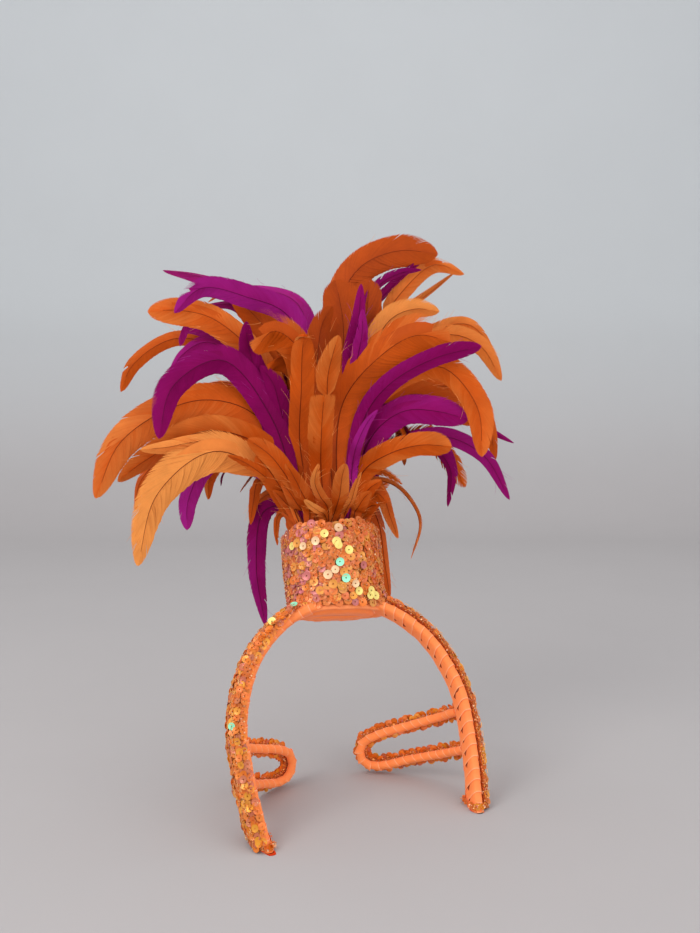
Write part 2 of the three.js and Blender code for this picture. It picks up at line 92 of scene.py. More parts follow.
# The side loops: the middle of the wire, from its upper end at the leg round to its lower end
WIRE_RADIUS = 3.2
LOOP_WAY = [
    {"x": 81.2, "y": 8.8, "z": 66.3, "progress": 0},
    {"x": 76.5, "y": 28, "z": 65.8, "progress": 0.25},
    {"x": 60, "y": 46, "z": 64.2, "progress": 0.6},
    {"x": 38, "y": 58.6, "z": 61.6, "progress": 0.9},
    {"x": 29.6, "y": 65.4, "z": 58.2, "progress": 0.97},
    {"x": 27, "y": 69.4, "z": 52.1, "progress": 1},
    {"x": 29.6, "y": 71.2, "z": 44.8, "progress": 0.97},
    {"x": 37.4, "y": 69.2, "z": 40.6, "progress": 0.92},
    {"x": 60, "y": 52, "z": 40.6, "progress": 0.6},
    {"x": 75.5, "y": 30, "z": 40, "progress": 0.25},
    {"x": 80.6, "y": 8.8, "z": 39.6, "progress": 0},
]
OUTWARD_AT_LEG = (0.97, 0.25, 0.12)
OUTWARD_AT_TIP = (0.58, 0.73, 0.35)
LOOP_BRAID_THICKNESS = 2.8
LOOP_BRAID_WIDTH = 13.6

# The cuff: round at its mouth, drawn in from front to back at its foot
CUFF_TILT = math.radians(4.3)
CUFF_FOOT = np.array([3.0, 9.5, CROWN_HEIGHT - 0.5])
CUFF_RADIUS = 34.0
CUFF_FOOT_DEPTH = 21.0
CUFF_WALL = 2.5
CUFF_HEIGHT = 60.0
CUFF_BULGE = 0.9
FOOT_FLARE = 6.5
RIM_WAVE = 1.2
RIM_WAVES = 5

# The view that the feather chart is drawn in
VIEW_TURN = math.radians(22.9)
VIEW_PITCH = math.radians(5.7)
VIEWER = {"across": -15.9, "distance": 667.0, "height": 306.0}
CHART_RISE = 4.2
CHART_STRETCH = (1.005, 1.033, 1.012)
LENS = 40.5

# A feather leaves the mouth at root and passes rise, crest and fall to its tip, in millimetres
# across and up from the cuff's mouth. Toward is how far its tip comes to the viewer, face turns the
# vane on its shaft, twist turns it more at the tip, and tone runs from deep (0) to pale (1). Where
# they are given, fray is how ragged its edges are, groove how deep its barbs lie, and bare the share
# of its shaft that has no vane.
FEATHER_COLUMNS = (
    "dye", "root", "rise_across", "rise_up", "crest_across", "crest_up", "fall_across", "fall_up",
    "tip_across", "tip_up", "width", "taper", "toward", "face", "twist", "tone", "fray", "groove", "bare",
)
PLAIN_VANE = {"fray": 0.0, "groove": 0.2, "bare": 0.0}
UPPER_LEFT = [
    ("magenta", -8, -34, 130, -71, 173, -95, 182, -118, 186, 24, 0.4, -55, 40, 0, 0.35),
    ("magenta", -8, -13, 128, -24, 163, -50, 172, -76, 171, 18, 0.3, -44, 18, 0, 0.65),
    ("magenta", -10, -27, 150, -60, 167, -91, 173, -110, 155, 19, 0.25, 25, -20, 20, 0.75),
    ("orange", -10, -45, 113, -81, 150, -107, 157, -129, 156, 22, 0.1, 20, 20, 0, 0.5),
    ("orange", -8, -28, 135, -62, 172, -76, 170, -86, 163, 11, 0.4, -70, -10, 0, 0.5),
    ("magenta", -8, -32, 125, -66, 160, -80, 161, -92, 159, 12, 0.4, -60, 0, 0, 0.3),
    ("orange", -8, -30, 112, -46, 144, -57, 157, -69, 165, 25, 0.14, -6, -15, 0, 0.35),
    ("orange", -6, -16, 102, -25, 133, -40, 142, -54, 127, 24, 0.08, 45, 25, 0, 0.45),
    ("orange", -6, -16, 88, -23, 112, -35, 123, -43.5, 114, 17, 0.05, 30, 10, 0, 0.26),
    ("orange", -12, -52, 110, -106, 137, -139, 118, -148, 98, 12, 0.1, -50, -15, 0, 0.4),
    ("magenta", -12, -45, 106, -87, 143, -103, 146, -106, 131, 14, 0.1, -22, 10, 0, 0.42),
    ("magenta", -12, -46, 100, -86, 134, -103, 126, -114, 111, 15, 0.4, 5, 20, 0, 0.55),
    ("magenta", -13, -41, 79, -76, 121, -111, 102, -121, 64, 21, 0.2, 50, 0, 10, 0.42),
    ("magenta", -12, -38, 80, -52, 112, -58, 133, -59, 149, 24, 0.45, 32, 25, 0, 0.3),
    ("magenta", -11, -29, 62, -36, 90, -40, 104, -49, 117, 21, 0.35, 30, -15, 0, 0.3),
    ("orange", -12, -44, 84, -62, 101, -76, 105, -92, 103, 17, 0.4, -45, 30, 0, 0.5, 0.8),
]
LOWER_LEFT = [
    ("orange", -14, -50, 79, -92, 92, -146, 64, -166, 21, 27, 0.28, 30, 18, 0, 0.55),
    ("orange", -15, -42, 54, -86, 70, -131, 48, -150, 33, 23, 0.3, 40, -15, 0, 0.56),
    ("orange", -15, -42, 48, -88, 62, -115, 58, -134, 56, 11, 0.2, 58, 20, 0, 0.75),
    ("orange", -13, -39, 34, -82, 55, -122, 24, -136, -28, 30, 0.5, 65, 12, 0, 1.0, 0.03, 0.9, 0.3),
    ("orange", -16, -44, 46, -104, 57, -133, 35, -138, 12, 14, 0.3, -15, 30, 0, 0.4),
    ("magenta", -16, -38, 34, -84, 47, -100, 20, -101, -2, 16, 0.2, -10, -15, 0, 0.85),
    ("orange", -16, -36, 30, -74, 48, -85, 35, -86, 20, 10, 0.2, -35, -25, 0, 0.5),
    ("magenta", -16, -34, 28, -68, 46, -76, 38, -77, 30, 8, 0.5, -50, 55, 0, 0.2),
    ("orange", -18, -34, 28, -50, 34, -54, 18, -56, 2, 10, 0.4, -15, -25, 0, 0.35),
    ("orange", -18, -30, 18, -43, 24, -52, 16, -56, 3, 9, 0.4, -40, -30, 0, 0.5),
    ("magenta", -20, -32, 15, -47, 11, -52, -28, -45.5, -71, 16, 0.55, -25, -38, 0, 0.55, 0.02),
    ("orange", -20, -29, 10, -36, 9, -38, -2, -37, -13, 6, 0.4, -10, -20, 0, 0.4),
]
CENTRE = [
    ("orange", -7, -21, 60, -20, 100, -19.5, 124, -18, 140, 18, 0.12, 50, -15, 0, 0.36),
    ("orange", -2, -6, 40, -6, 64, -5, 82, -4, 96, 18, 0.03, 58, 10, 0, 0.48),
    ("orange", 2, 0, 60, -1.5, 107, 2, 124, 6.5, 139, 20, 0.3, 54, 12, 0, 0.6, 0, 0.2, 0.68),
    ("orange", 4, 9, 88, 36, 123, 64, 139, 88, 134, 31, 0.12, 45, -15, 0, 0.42),
    ("orange", -3, -9, 100, -8, 130, -5, 148, 2, 160, 20, 0.2, 15, 20, 0, 0.12),
    ("orange", 4, 9, 110, 10, 146, 7, 166, 4, 179, 30, 0.07, 5, -18, 0, 0.18),
    ("orange", 6, 20, 100, 25, 140, 28, 165, 29, 180, 24, 0.06, -10, 15, 0, 0.14),
    ("magenta", 6, 13, 90, 17, 128, 21, 150, 23, 176, 16, 0.45, 30, 40, -40, 0.4, 0, 0.2, 0.6),
    ("orange", 2, 5, 151, 21, 187, 50, 200, 79, 197.5, 25, 0.1, -40, -12, 38, 0.2),
]
UPPER_RIGHT = [
    ("orange", 7, 34, 138, 56, 174, 77, 190, 98, 183, 15, 0.18, -60, 20, 0, 0.6, 0, 0.3, 0.6),
    ("magenta", 7, 30, 155, 42, 170, 56, 184, 71, 195, 15, 0.4, -45, 72, 0, 0.3),
    ("magenta", 7, 27, 160, 37, 176, 52, 184, 67, 186, 15, 0.4, -30, 70, 0, 0.55),
    ("orange", 8, 40, 140, 60, 160, 76, 172, 91, 184, 12, 0.4, -75, 72, 0, 0.7),
    ("orange", 8, 28, 118, 44, 150, 62, 158, 80, 156, 19, 0.18, -5, 20, 0, 0.8),
    ("orange", 8, 44, 115, 84, 145, 103, 146, 118, 131, 12, 0.2, -50, 30, 0, 0.6),
    ("orange", 8, 42, 102, 84, 139, 110, 131, 125, 106, 15, 0.18, -15, 25, 0, 0.6),
    ("magenta", 8, 24, 76, 43, 103, 76, 122, 110.5, 131, 15.5, 0.12, 53, 10, 0, 0.46),
    ("orange", 9, 42, 103, 81, 116, 107.5, 87, 111, 51, 20, 0.16, 44, -15, 0, 0.5, 0, 0.2, 0.42),
    ("orange", 9, 30, 78, 58, 96, 80, 92, 104, 74, 20, 0.2, -10, 20, 0, 0.45),
    ("magenta", 9, 31, 66, 54, 84, 78, 84, 101, 78, 21, 0.14, 28, -12, 0, 0.5),
    ("magenta", 10, 16.5, 44, 20, 60, 27, 75, 35, 85, 9, 0.5, 57, -20, 0, 0.95, 0, 0.2, 0.32),
    ("orange", 9, 48, 92, 96, 100, 114, 78, 121, 49, 15, 0.25, -55, 35, 0, 0.35),
    ("magenta", 9, 45, 72, 86, 82, 112, 72, 134, 61, 10, 0.5, -60, 30, 0, 0.5),
]
LOWER_RIGHT = [
    ("magenta", 11, 38, 50, 80, 66, 112, 52, 131, 20, 14, 0.4, -25, 20, 0, 0.55),
    ("orange", 12, 23, 38, 43, 53, 66, 59.5, 89, 58.5, 18, 0.1, 50, -12, 0, 0.5),
    ("magenta", 12, 40, 50, 72, 60, 88, 42, 86, 15, 12, 0.5, -40, 64, 0, 0.4),
    ("magenta", 12, 42, 54, 72, 64, 85, 54, 93, 37, 14, 0.3, -60, 40, 0, 0.35),
    ("orange", 12, 42, 56, 72, 66, 87, 50, 99, 29, 16, 0.12, -70, 50, 0, 0.45, 0.2),
    ("orange", 14, 28, 32, 46, 31, 65, 6, 59, -23, 13, 0.5, 12, 58, 0, 0.7),
    ("orange", 13, 24, 33, 34, 41, 43, 38, 53, 31, 8, 0.4, -5, 30, 0, 0.6, 0.4),
    ("orange", 15, 28, 28, 38, 24, 44, 8, 50, -8, 12, 0.4, -20, 20, 0, 0.5),
    ("orange", 20, 30, 14, 36, 2, 40, -25, 44, -51, 17, 0.3, -34, 50, 0, 0.42, 0.02),
    ("magenta", 14, 18, 13, 23, 20, 29, 29, 38, 42, 7, 0.5, -15, 30, 0, 0.4),
    ("orange", 16, 22, 12, 30, 22, 36, 29, 44, 33, 14, 0.3, -22, 20, 0, 0.45, 0.25),
]
# Short feathers that fill the foot of the plume
FOOT_FILL = [
    ("orange", -10, -14, 12, -20, 26, -25, 36, -31, 46, 13, 0.5, 62, 15, 0, 0.5),
    ("orange", -1, -3, 8, -8, 12, -13, 15.5, -18, 20, 6, 0.3, 74, 20, 0, 0.85),
    ("orange", -0.5, -1, 13, -7, 23, -10.5, 33, -7.8, 46, 10, 0.6, 76, -10, 0, 0.7),
    ("orange", 0.5, 4, 12, 7.5, 24, 9, 36, 11.5, 46, 12.5, 0.35, 75, 10, 0, 0.58),
    ("orange", 7, 11, 10, 16, 20, 19, 30, 23, 40, 7, 0.5, 60, 25, 0, 0.72),
    ("orange", 12, 18, 12, 24, 22, 30, 29, 38, 34, 14, 0.5, 30, -20, 0, 0.45),
    ("orange", -17, -24, 9, -31, 20, -38, 30, -46, 38, 17, 0.4, 15, 20, 0, 0.35),
    ("orange", 15, 21, 11, 28, 21, 34, 25, 42, 18, 20, 0.3, 8, -20, 0, 0.35),
    ("orange", -16, -37, 28, -50, 40, -62, 48, -72, 52, 9, 0.5, 58, 10, 0, 0.45),
    ("orange", -12, -20, 18, -30, 36, -42, 52, -58, 64, 15, 0.2, 46, 10, 0, 0.45),
    ("orange", -9, -17, 20, -27, 35, -38, 51, -48, 62, 12, 0.2, 40, -15, 0, 0.5),
    ("orange", -14, -18, 9, -23, 17, -28, 25, -34, 33, 15, 0.5, 45, 15, 0, 0.42),
    ("orange", -18, -24, 8, -29, 15, -34, 21, -40, 27, 14, 0.5, 30, 10, 0, 0.4),
    ("orange", -16, -24, 10, -33, 26, -42, 40, -52, 52, 20, 0.3, 38, 10, 0, 0.38),
    ("orange", 12, 17, 8, 21, 15, 25, 21, 30, 26, 14, 0.5, 40, -15, 0, 0.45),
    ("orange", 16, 22, 7, 27, 13, 31, 16, 36, 16, 15, 0.4, 25, -15, 0, 0.4),
    ("orange", -6, -20, 100, -23, 128, -21.5, 137, -10.5, 136.5, 8, 0.35, 56, 10, 0, 0.95, 0, 0.2, 0.82),
    ("magenta", 6, 15, 90, 21, 126, 23.5, 139, 24, 158, 16, 0.5, 36, 0, 0, 0.6, 0.02, 0.2, 0.7),
]
TOWARD_SHARES = (0.05, 0.12, 0.34, 0.66, 0.85, 1)
QUILL_DEPTH = 24.0
ROOT_REACH = 20.0
ROOT_SPREAD = 1.4
VANE_FOOT = 0.16
VANE_FULL = 0.62
TIP_SHARE = 0.03
# How far locks of barbs sweep forward, each as a multiple of their own scale
LOCK_SWEEPS = np.array([0.25, 0.5, 0.8, 1.15, 1.6, 2.2])

# The feathers behind, in tiers that fan away from the viewer
BACK_TIERS = [
    {"feathers": 7, "ring": 24, "up": 94, "reach": 88, "droop": 46},
    {"feathers": 4, "ring": 18, "up": 140, "reach": 80, "droop": 40},
]
BACK_FAN = math.radians(62)
BACK_SPREAD = 0.72
BACK_WIDTH = 20.0
BACK_FILL = 16
BACK_LOW = 11

SAMPLES = 100


# Small helpers
def unit(vectors):
    vectors = np.asarray(vectors, float)
    return vectors / np.linalg.norm(vectors, axis=-1, keepdims=True)


def smooth(value, low, high):
    share = np.clip((np.asarray(value, float) - low) / (high - low), 0, 1)
    return share * share * (3 - 2 * share)


def turned(points, angle):
    """Points turned about the x axis."""
    points = np.asarray(points, float)
    cosine, sine = math.cos(angle), math.sin(angle)
    y = points[..., 1] * cosine - points[..., 2] * sine
    z = points[..., 1] * sine + points[..., 2] * cosine
    return np.stack([points[..., 0], y, z], axis=-1)


def feet_middle():
    """The point on the table midway between the feet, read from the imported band's box."""
    low, high = (np.array(corner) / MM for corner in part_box("headband"))
    behind = BAND_WIDTH / 2 / math.cos(LEAN_BACK)
    return np.array([(low[0] + high[0]) / 2, low[1] + behind, low[2]])


FEET = feet_middle()


def from_band(points):
    """Places in the arch's frame, in the row's frame."""
    return turned(points, -LEAN_BACK) + FEET


def axis_from_band(vectors):
    return turned(vectors, -LEAN_BACK)


def through(points, count):
    """Evenly spaced places on the smooth curve through a few points, and its length."""
    given = [np.array(point, float) for point in points]
    given = [2 * given[0] - given[1], *given, 2 * given[-1] - given[-2]]
    fine = []
    for start in range(1, len(given) - 2):
        before, here, there, after = given[start - 1:start + 3]
        first = np.linalg.norm(here - before) ** 0.5
        middle = np.linalg.norm(there - here) ** 0.5
        last = np.linalg.norm(after - there) ** 0.5
        leave = ((here - before) / first - (there - before) / (first + middle)
                 + (there - here) / middle) * middle
        arrive = ((there - here) / middle - (after - here) / (middle + last)
                  + (after - there) / last) * middle
        share = np.arange(40)[:, None] / 40
        fine.append(here * (2 * share**3 - 3 * share**2 + 1) + leave * (share**3 - 2 * share**2 + share)
                    + there * (3 * share**2 - 2 * share**3) + arrive * (share**3 - share**2))
    fine = np.concatenate([*fine, given[-2][None]])
    run = np.concatenate([[0], np.cumsum(np.linalg.norm(np.diff(fine, axis=0), axis=1))])
    even = np.linspace(0, run[-1], count)
    return np.stack([np.interp(even, run, fine[:, axis]) for axis in range(3)], axis=1), run[-1]


def tangents(places):
    return unit(np.gradient(places, axis=0))


def carried(along, side):
    """A side direction carried along a curve without twisting."""
    sides = []
    for direction in along:
        side = unit(side - direction * side.dot(direction))
        sides.append(side)
    return np.array(sides)


def at_shares(values, shares):
    """Values sampled evenly along a curve, read at other shares of its length."""
    values = np.asarray(values, float)
    grid = np.linspace(0, 1, len(values))
    if values.ndim == 1:
        return np.interp(shares, grid, values)
    return np.stack([np.interp(shares, grid, column) for column in values.T], axis=1)


# Meshes and objects
def mesh_object(name, places, faces, smooth_faces=True):
    mesh = bpy.data.meshes.new(name)
    mesh.from_pydata((np.asarray(places) * MM).tolist(), [], faces, shade_flat=not smooth_faces)
    mesh.update()
    piece = bpy.data.objects.new(name, mesh)
    bpy.context.scene.collection.objects.link(piece)
    return piece


def add_values(mesh, name, values):
    """A number, vector or colour for each vertex of a mesh."""
    values = np.asarray(values, float)
    width = 1 if values.ndim == 1 else values.shape[1]
    kind, key = {1: ("FLOAT", "value"), 3: ("FLOAT_VECTOR", "vector"), 4: ("FLOAT_COLOR", "color")}[width]
    mesh.attributes.new(name, kind, "POINT").data.foreach_set(key, values.astype(np.float32).ravel())


def add_whole(mesh, name, values):
    layer = mesh.attributes.new(name, "INT", "POINT")
    layer.data.foreach_set("value", np.asarray(values, np.int32))


def grid_faces(rows, columns, around=False, first=0):
    """Quads over a grid of vertices, closed across its columns when it goes around."""
    faces = []
    for row in range(rows - 1):
        for column in range(columns if around else columns - 1):
            here = first + row * columns + column
            beside = first + row * columns + (column + 1) % columns
            faces.append((here, beside, beside + columns, here + columns))
    return faces


def plain(piece):
    """Applies a piece's geometry nodes and leaves a plain mesh."""
    depsgraph = bpy.context.evaluated_depsgraph_get()
    mesh = bpy.data.meshes.new_from_object(
        piece.evaluated_get(depsgraph), preserve_all_data_layers=True, depsgraph=depsgraph)
    if piece.type == "MESH":
        piece.modifiers.clear()
        piece.data = mesh
        return piece
    name = piece.name
    bpy.data.objects.remove(piece)
    made = bpy.data.objects.new(name, mesh)
    bpy.context.scene.collection.objects.link(made)
    return made


def finish_piece(piece, slot, *nodes, material=None):
    if material is not None:
        piece.data.materials.clear()
        piece.data.materials.append(material)
    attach(piece, "root")
    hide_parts(*nodes)
    return piece


# Node trees
def node(tree, kind, settings=None, **values):
    made = tree.nodes.new(kind)
    for name, value in (settings or {}).items():
        setattr(made, name, value)
    for name, value in values.items():
        socket = made.inputs[name.replace("_", " ")] if isinstance(name, str) else made.inputs[name]
        if isinstance(value, bpy.types.NodeSocket):
            tree.links.new(value, socket)
        else:
            socket.default_value = value
    return made


def join(tree, output, made, socket):
    tree.links.new(output, made.inputs[socket])


def socket_id(tree, name):
    for item in tree.interface.items_tree:
        if item.item_type == "SOCKET" and item.in_out == "INPUT" and item.name == name:
            return item.identifier
    raise KeyError(name)


def geometry_tree(name, inputs):
    tree = bpy.data.node_groups.new(name, "GeometryNodeTree")
    tree.interface.new_socket("Geometry", in_out="INPUT", socket_type="NodeSocketGeometry")
    for label, kind, value in inputs:
        socket = tree.interface.new_socket(label, in_out="INPUT", socket_type=kind)
        if value is not None:
            socket.default_value = value
    tree.interface.new_socket("Geometry", in_out="OUTPUT", socket_type="NodeSocketGeometry")
    return tree, tree.nodes.new("NodeGroupInput"), tree.nodes.new("NodeGroupOutput")


def named(tree, name, kind):
    made = node(tree, "GeometryNodeInputNamedAttribute", {"data_type": kind})
    made.inputs["Name"].default_value = name
    return made.outputs["Attribute"]


def repeat_tree():
    """Sets one of a few small shapes on every point, turned by the point's two directions."""
    if "Shapes on points" in bpy.data.node_groups:
        return bpy.data.node_groups["Shapes on points"]
    tree, given, result = geometry_tree("Shapes on points", [
        ("Shapes", "NodeSocketCollection", None),
        ("Size", "NodeSocketFloat", 1.0),
        ("Wobble", "NodeSocketFloat", 0.0),
        ("Seed", "NodeSocketInt", 0),
        ("Finish", "NodeSocketMaterial", None),
    ])
    shapes = node(tree, "GeometryNodeCollectionInfo")
    join(tree, given.outputs["Shapes"], shapes, "Collection")
    shapes.inputs["Separate Children"].default_value = True
    shapes.inputs["Reset Children"].default_value = True
    facing = node(tree, "FunctionNodeAxesToRotation", {"primary_axis": "X", "secondary_axis": "Y"})
    join(tree, named(tree, "x_axis", "FLOAT_VECTOR"), facing, "Primary Axis")
    join(tree, named(tree, "y_axis", "FLOAT_VECTOR"), facing, "Secondary Axis")
    spread = node(tree, "ShaderNodeCombineXYZ")
    less = node(tree, "ShaderNodeMath", {"operation": "MULTIPLY"})
    join(tree, given.outputs["Wobble"], less, 0)
    less.inputs[1].default_value = -1.0
    least = node(tree, "ShaderNodeCombineXYZ")
    for axis in ("X", "Y", "Z"):
        join(tree, given.outputs["Wobble"], spread, axis)
        join(tree, less.outputs[0], least, axis)
    chance = node(tree, "FunctionNodeRandomValue", {"data_type": "FLOAT_VECTOR"})
    join(tree, least.outputs[0], chance, "Min")
    join(tree, spread.outputs[0], chance, "Max")
    join(tree, given.outputs["Seed"], chance, "Seed")
    tilt = node(tree, "FunctionNodeEulerToRotation")
    join(tree, chance.outputs["Value"], tilt, 0)
    turn = node(tree, "FunctionNodeRotateRotation", {"rotation_space": "LOCAL"})
    join(tree, facing.outputs[0], turn, 0)
    join(tree, tilt.outputs[0], turn, 1)
    grow = node(tree, "ShaderNodeVectorMath", {"operation": "SCALE"})
    join(tree, named(tree, "size", "FLOAT_VECTOR"), grow, 0)
    join(tree, given.outputs["Size"], grow, "Scale")
    instance = node(tree, "GeometryNodeInstanceOnPoints")
    instance.inputs["Pick Instance"].default_value = True
    join(tree, given.outputs["Geometry"], instance, "Points")
    join(tree, shapes.outputs[0], instance, "Instance")
    join(tree, named(tree, "pick", "INT"), instance, "Instance Index")
    join(tree, turn.outputs[0], instance, "Rotation")
    join(tree, grow.outputs[0], instance, "Scale")
    real = node(tree, "GeometryNodeRealizeInstances")
    join(tree, instance.outputs[0], real, 0)
    coat = node(tree, "GeometryNodeSetMaterial")
    join(tree, real.outputs[0], coat, "Geometry")
    join(tree, given.outputs["Finish"], coat, "Material")
    join(tree, coat.outputs[0], result, 0)
    return tree


def tube_tree():
    """A round tube along every curve, as thick as the curve's radius says."""
    if "Tube on curves" in bpy.data.node_groups:
        return bpy.data.node_groups["Tube on curves"]
    tree, given, result = geometry_tree("Tube on curves", [
        ("Sides", "NodeSocketInt", 5),
        ("Finish", "NodeSocketMaterial", None),
    ])
    circle = node(tree, "GeometryNodeCurvePrimitiveCircle", Radius=MM)
    join(tree, given.outputs["Sides"], circle, "Resolution")
    sweep = node(tree, "GeometryNodeCurveToMesh")
    sweep.inputs["Fill Caps"].default_value = True
    join(tree, given.outputs["Geometry"], sweep, "Curve")
    join(tree, circle.outputs["Curve"], sweep, "Profile Curve")
    if "Scale" in sweep.inputs:
        radius = node(tree, "GeometryNodeInputRadius")
        join(tree, radius.outputs[0], sweep, "Scale")
    even = node(tree, "GeometryNodeSetShadeSmooth")
    join(tree, sweep.outputs[0], even, "Geometry")
    real = node(tree, "GeometryNodeRealizeInstances")
    join(tree, even.outputs[0], real, 0)
    coat = node(tree, "GeometryNodeSetMaterial")
    join(tree, real.outputs[0], coat, "Geometry")
    join(tree, given.outputs["Finish"], coat, "Material")
    join(tree, coat.outputs[0], result, 0)
    return tree


def with_nodes(piece, tree, **inputs):
    modifier = piece.modifiers.new(tree.name, "NODES")
    modifier.node_group = tree
    for name, value in inputs.items():
        modifier[socket_id(tree, name)] = value
    return plain(piece)


def repeated(name, points, shapes, material, wobble=0.0, seed=0):
    """Small shapes set on points. A point has place, x_axis, y_axis, size, pick and looks."""
    cloud = mesh_object(name, points["place"], [])
    for key in ("x_axis", "y_axis", "size"):
        add_values(cloud.data, key, points[key])
    add_whole(cloud.data, "pick", points["pick"])
    for key, values in points["looks"].items():
        add_values(cloud.data, key, values)
    kit = bpy.data.collections.new(name + "_shapes")
    for number, shape in enumerate(shapes):
        shape.name = f"{number:02}_shape"
        for holder in shape.users_collection:
            holder.objects.unlink(shape)
        kit.objects.link(shape)
    made = with_nodes(cloud, repeat_tree(), Shapes=kit, Wobble=wobble, Seed=seed, Finish=material)
    for shape in list(kit.objects):
        bpy.data.objects.remove(shape)
    bpy.data.collections.remove(kit)
    return made


def tubes(name, lines, material, sides=5):
    """Round tapering tubes. A line is a list of places and a list of radii."""
    data = bpy.data.curves.new(name, "CURVE")
    data.dimensions = "3D"
    for places, radii in lines:
        spline = data.splines.new("POLY")
        spline.points.add(len(places) - 1)
        spline.points.foreach_set("co", np.column_stack([places * MM, np.ones(len(places))]).ravel())
        spline.points.foreach_set("radius", np.asarray(radii, float))
    piece = bpy.data.objects.new(name, data)
    bpy.context.scene.collection.objects.link(piece)
    return with_nodes(piece, tube_tree(), Sides=sides, Finish=material)


# Finishes
def shader_group(name, inputs, outputs):
    group = bpy.data.node_groups.new(name, "ShaderNodeTree")
    for label, kind, value in inputs:
        group.interface.new_socket(label, in_out="INPUT", socket_type=kind).default_value = value
    for label, kind in outputs:
        group.interface.new_socket(label, in_out="OUTPUT", socket_type=kind)
    return group, group.nodes.new("NodeGroupInput"), group.nodes.new("NodeGroupOutput")


def mottle_group():
    """Soft uneven colour at a given scale, and a fine height with it."""
    if "Mottle" in bpy.data.node_groups:
        return bpy.data.node_groups["Mottle"]
    group, given, result = shader_group("Mottle", [
        ("Colour", "NodeSocketColor", (1, 1, 1, 1)),
        ("Scale", "NodeSocketFloat", 60.0),
        ("Stretch", "NodeSocketVector", (1, 1, 1)),
        ("Amount", "NodeSocketFloat", 0.2),
    ], [("Colour", "NodeSocketColor"), ("Height", "NodeSocketFloat")])
    place = node(group, "ShaderNodeTexCoord")
    mapping = node(group, "ShaderNodeMapping")
    join(group, place.outputs["Object"], mapping, "Vector")
    join(group, given.outputs["Stretch"], mapping, "Scale")
    noise = node(group, "ShaderNodeTexNoise", Detail=4.0, Roughness=0.6)
    join(group, mapping.outputs[0], noise, "Vector")
    join(group, given.outputs["Scale"], noise, "Scale")
    centred = node(group, "ShaderNodeMath", {"operation": "SUBTRACT"})
    join(group, noise.outputs[0], centred, 0)
    centred.inputs[1].default_value = 0.5
    strength = node(group, "ShaderNodeMath", {"operation": "MULTIPLY_ADD"})
    join(group, centred.outputs[0], strength, 0)
    join(group, given.outputs["Amount"], strength, 1)
    strength.inputs[2].default_value = 1.0
    shade = node(group, "ShaderNodeVectorMath", {"operation": "SCALE"})
    join(group, given.outputs["Colour"], shade, 0)
    join(group, strength.outputs[0], shade, "Scale")
    join(group, shade.outputs[0], result, "Colour")
    join(group, noise.outputs[0], result, "Height")
    return group


def grouped(tree, group, **values):
    made = tree.nodes.new("ShaderNodeGroup")
    made.node_tree = group
    for name, value in values.items():
        if isinstance(value, bpy.types.NodeSocket):
            tree.links.new(value, made.inputs[name])
        else:
            made.inputs[name].default_value = value
    return made


def new_material(name):
    material = bpy.data.materials.new(name)
    material.use_nodes = True
    tree = material.node_tree
    return material, tree, tree.nodes["Principled BSDF"]


def colour_between(tree, low, high, share):
    mixed = node(tree, "ShaderNodeMix", {"data_type": "RGBA", "blend_type": "MIX"})
    for socket, value in ((6, low), (7, high)):
        if isinstance(value, bpy.types.NodeSocket):
            tree.links.new(value, mixed.inputs[socket])
        else:
            mixed.inputs[socket].default_value = (*value, 1)
    tree.links.new(share, mixed.inputs[0])
    return mixed.outputs[2]


def attribute(tree, name, output="Fac"):
    made = node(tree, "ShaderNodeAttribute")
    made.attribute_name = name
    return made.outputs[output]


def maths(tree, operation, *values):
    made = node(tree, "ShaderNodeMath", {"operation": operation})
    for number, value in enumerate(values):
        if isinstance(value, bpy.types.NodeSocket):
            tree.links.new(value, made.inputs[number])
        else:
            made.inputs[number].default_value = value
    return made.outputs[0]


def bump(tree, shader, height, strength, distance):
    made = node(tree, "ShaderNodeBump", Strength=strength, Distance=distance)
    tree.links.new(height, made.inputs["Height"])
    tree.links.new(made.outputs[0], shader.inputs["Normal"])


def ribbon_finish(settings):
    """Woven ribbon: turned edges painted paler as a painted highlight, a faint painted glow, fine cross threads and a
    soft sheen.
    """
    if "ribbon" in bpy.data.materials:
        return bpy.data.materials["ribbon"]
    material, tree, shader = new_material("ribbon")
    edge = attribute(tree, "edge")
    # The turned edges are painted paler: a painted highlight where they catch the light.
    colour = colour_between(tree, settings.colour, settings.edge_highlight_colour, maths(tree, "MULTIPLY", edge, 0.72))
    uneven = grouped(tree, mottle_group(), Colour=colour, Scale=220.0, Amount=0.35)
    tree.links.new(uneven.outputs["Colour"], shader.inputs["Base Color"])
    weave = node(tree, "ShaderNodeTexVoronoi", {"feature": "F1"}, Scale=1600.0)
    place = node(tree, "ShaderNodeTexCoord")
    tree.links.new(place.outputs["Object"], weave.inputs["Vector"])
    height = maths(tree, "ADD", weave.outputs["Distance"], maths(tree, "MULTIPLY", uneven.outputs["Height"], 0.8))
    bump(tree, shader, height, 0.35, 0.0002)
    shader.inputs["Roughness"].default_value = 0.6
    shader.inputs["Specular IOR Level"].default_value = 0.2
    shader.inputs["Sheen Weight"].default_value = 0.1
    shader.inputs["Sheen Roughness"].default_value = 0.4
    # A faint glow in the ribbon's own colour: painted light that brightens its shaded faces.
    shader.inputs["Emission Color"].default_value = (*settings.colour, 1)
    shader.inputs["Emission Strength"].default_value = 0.15
    return material


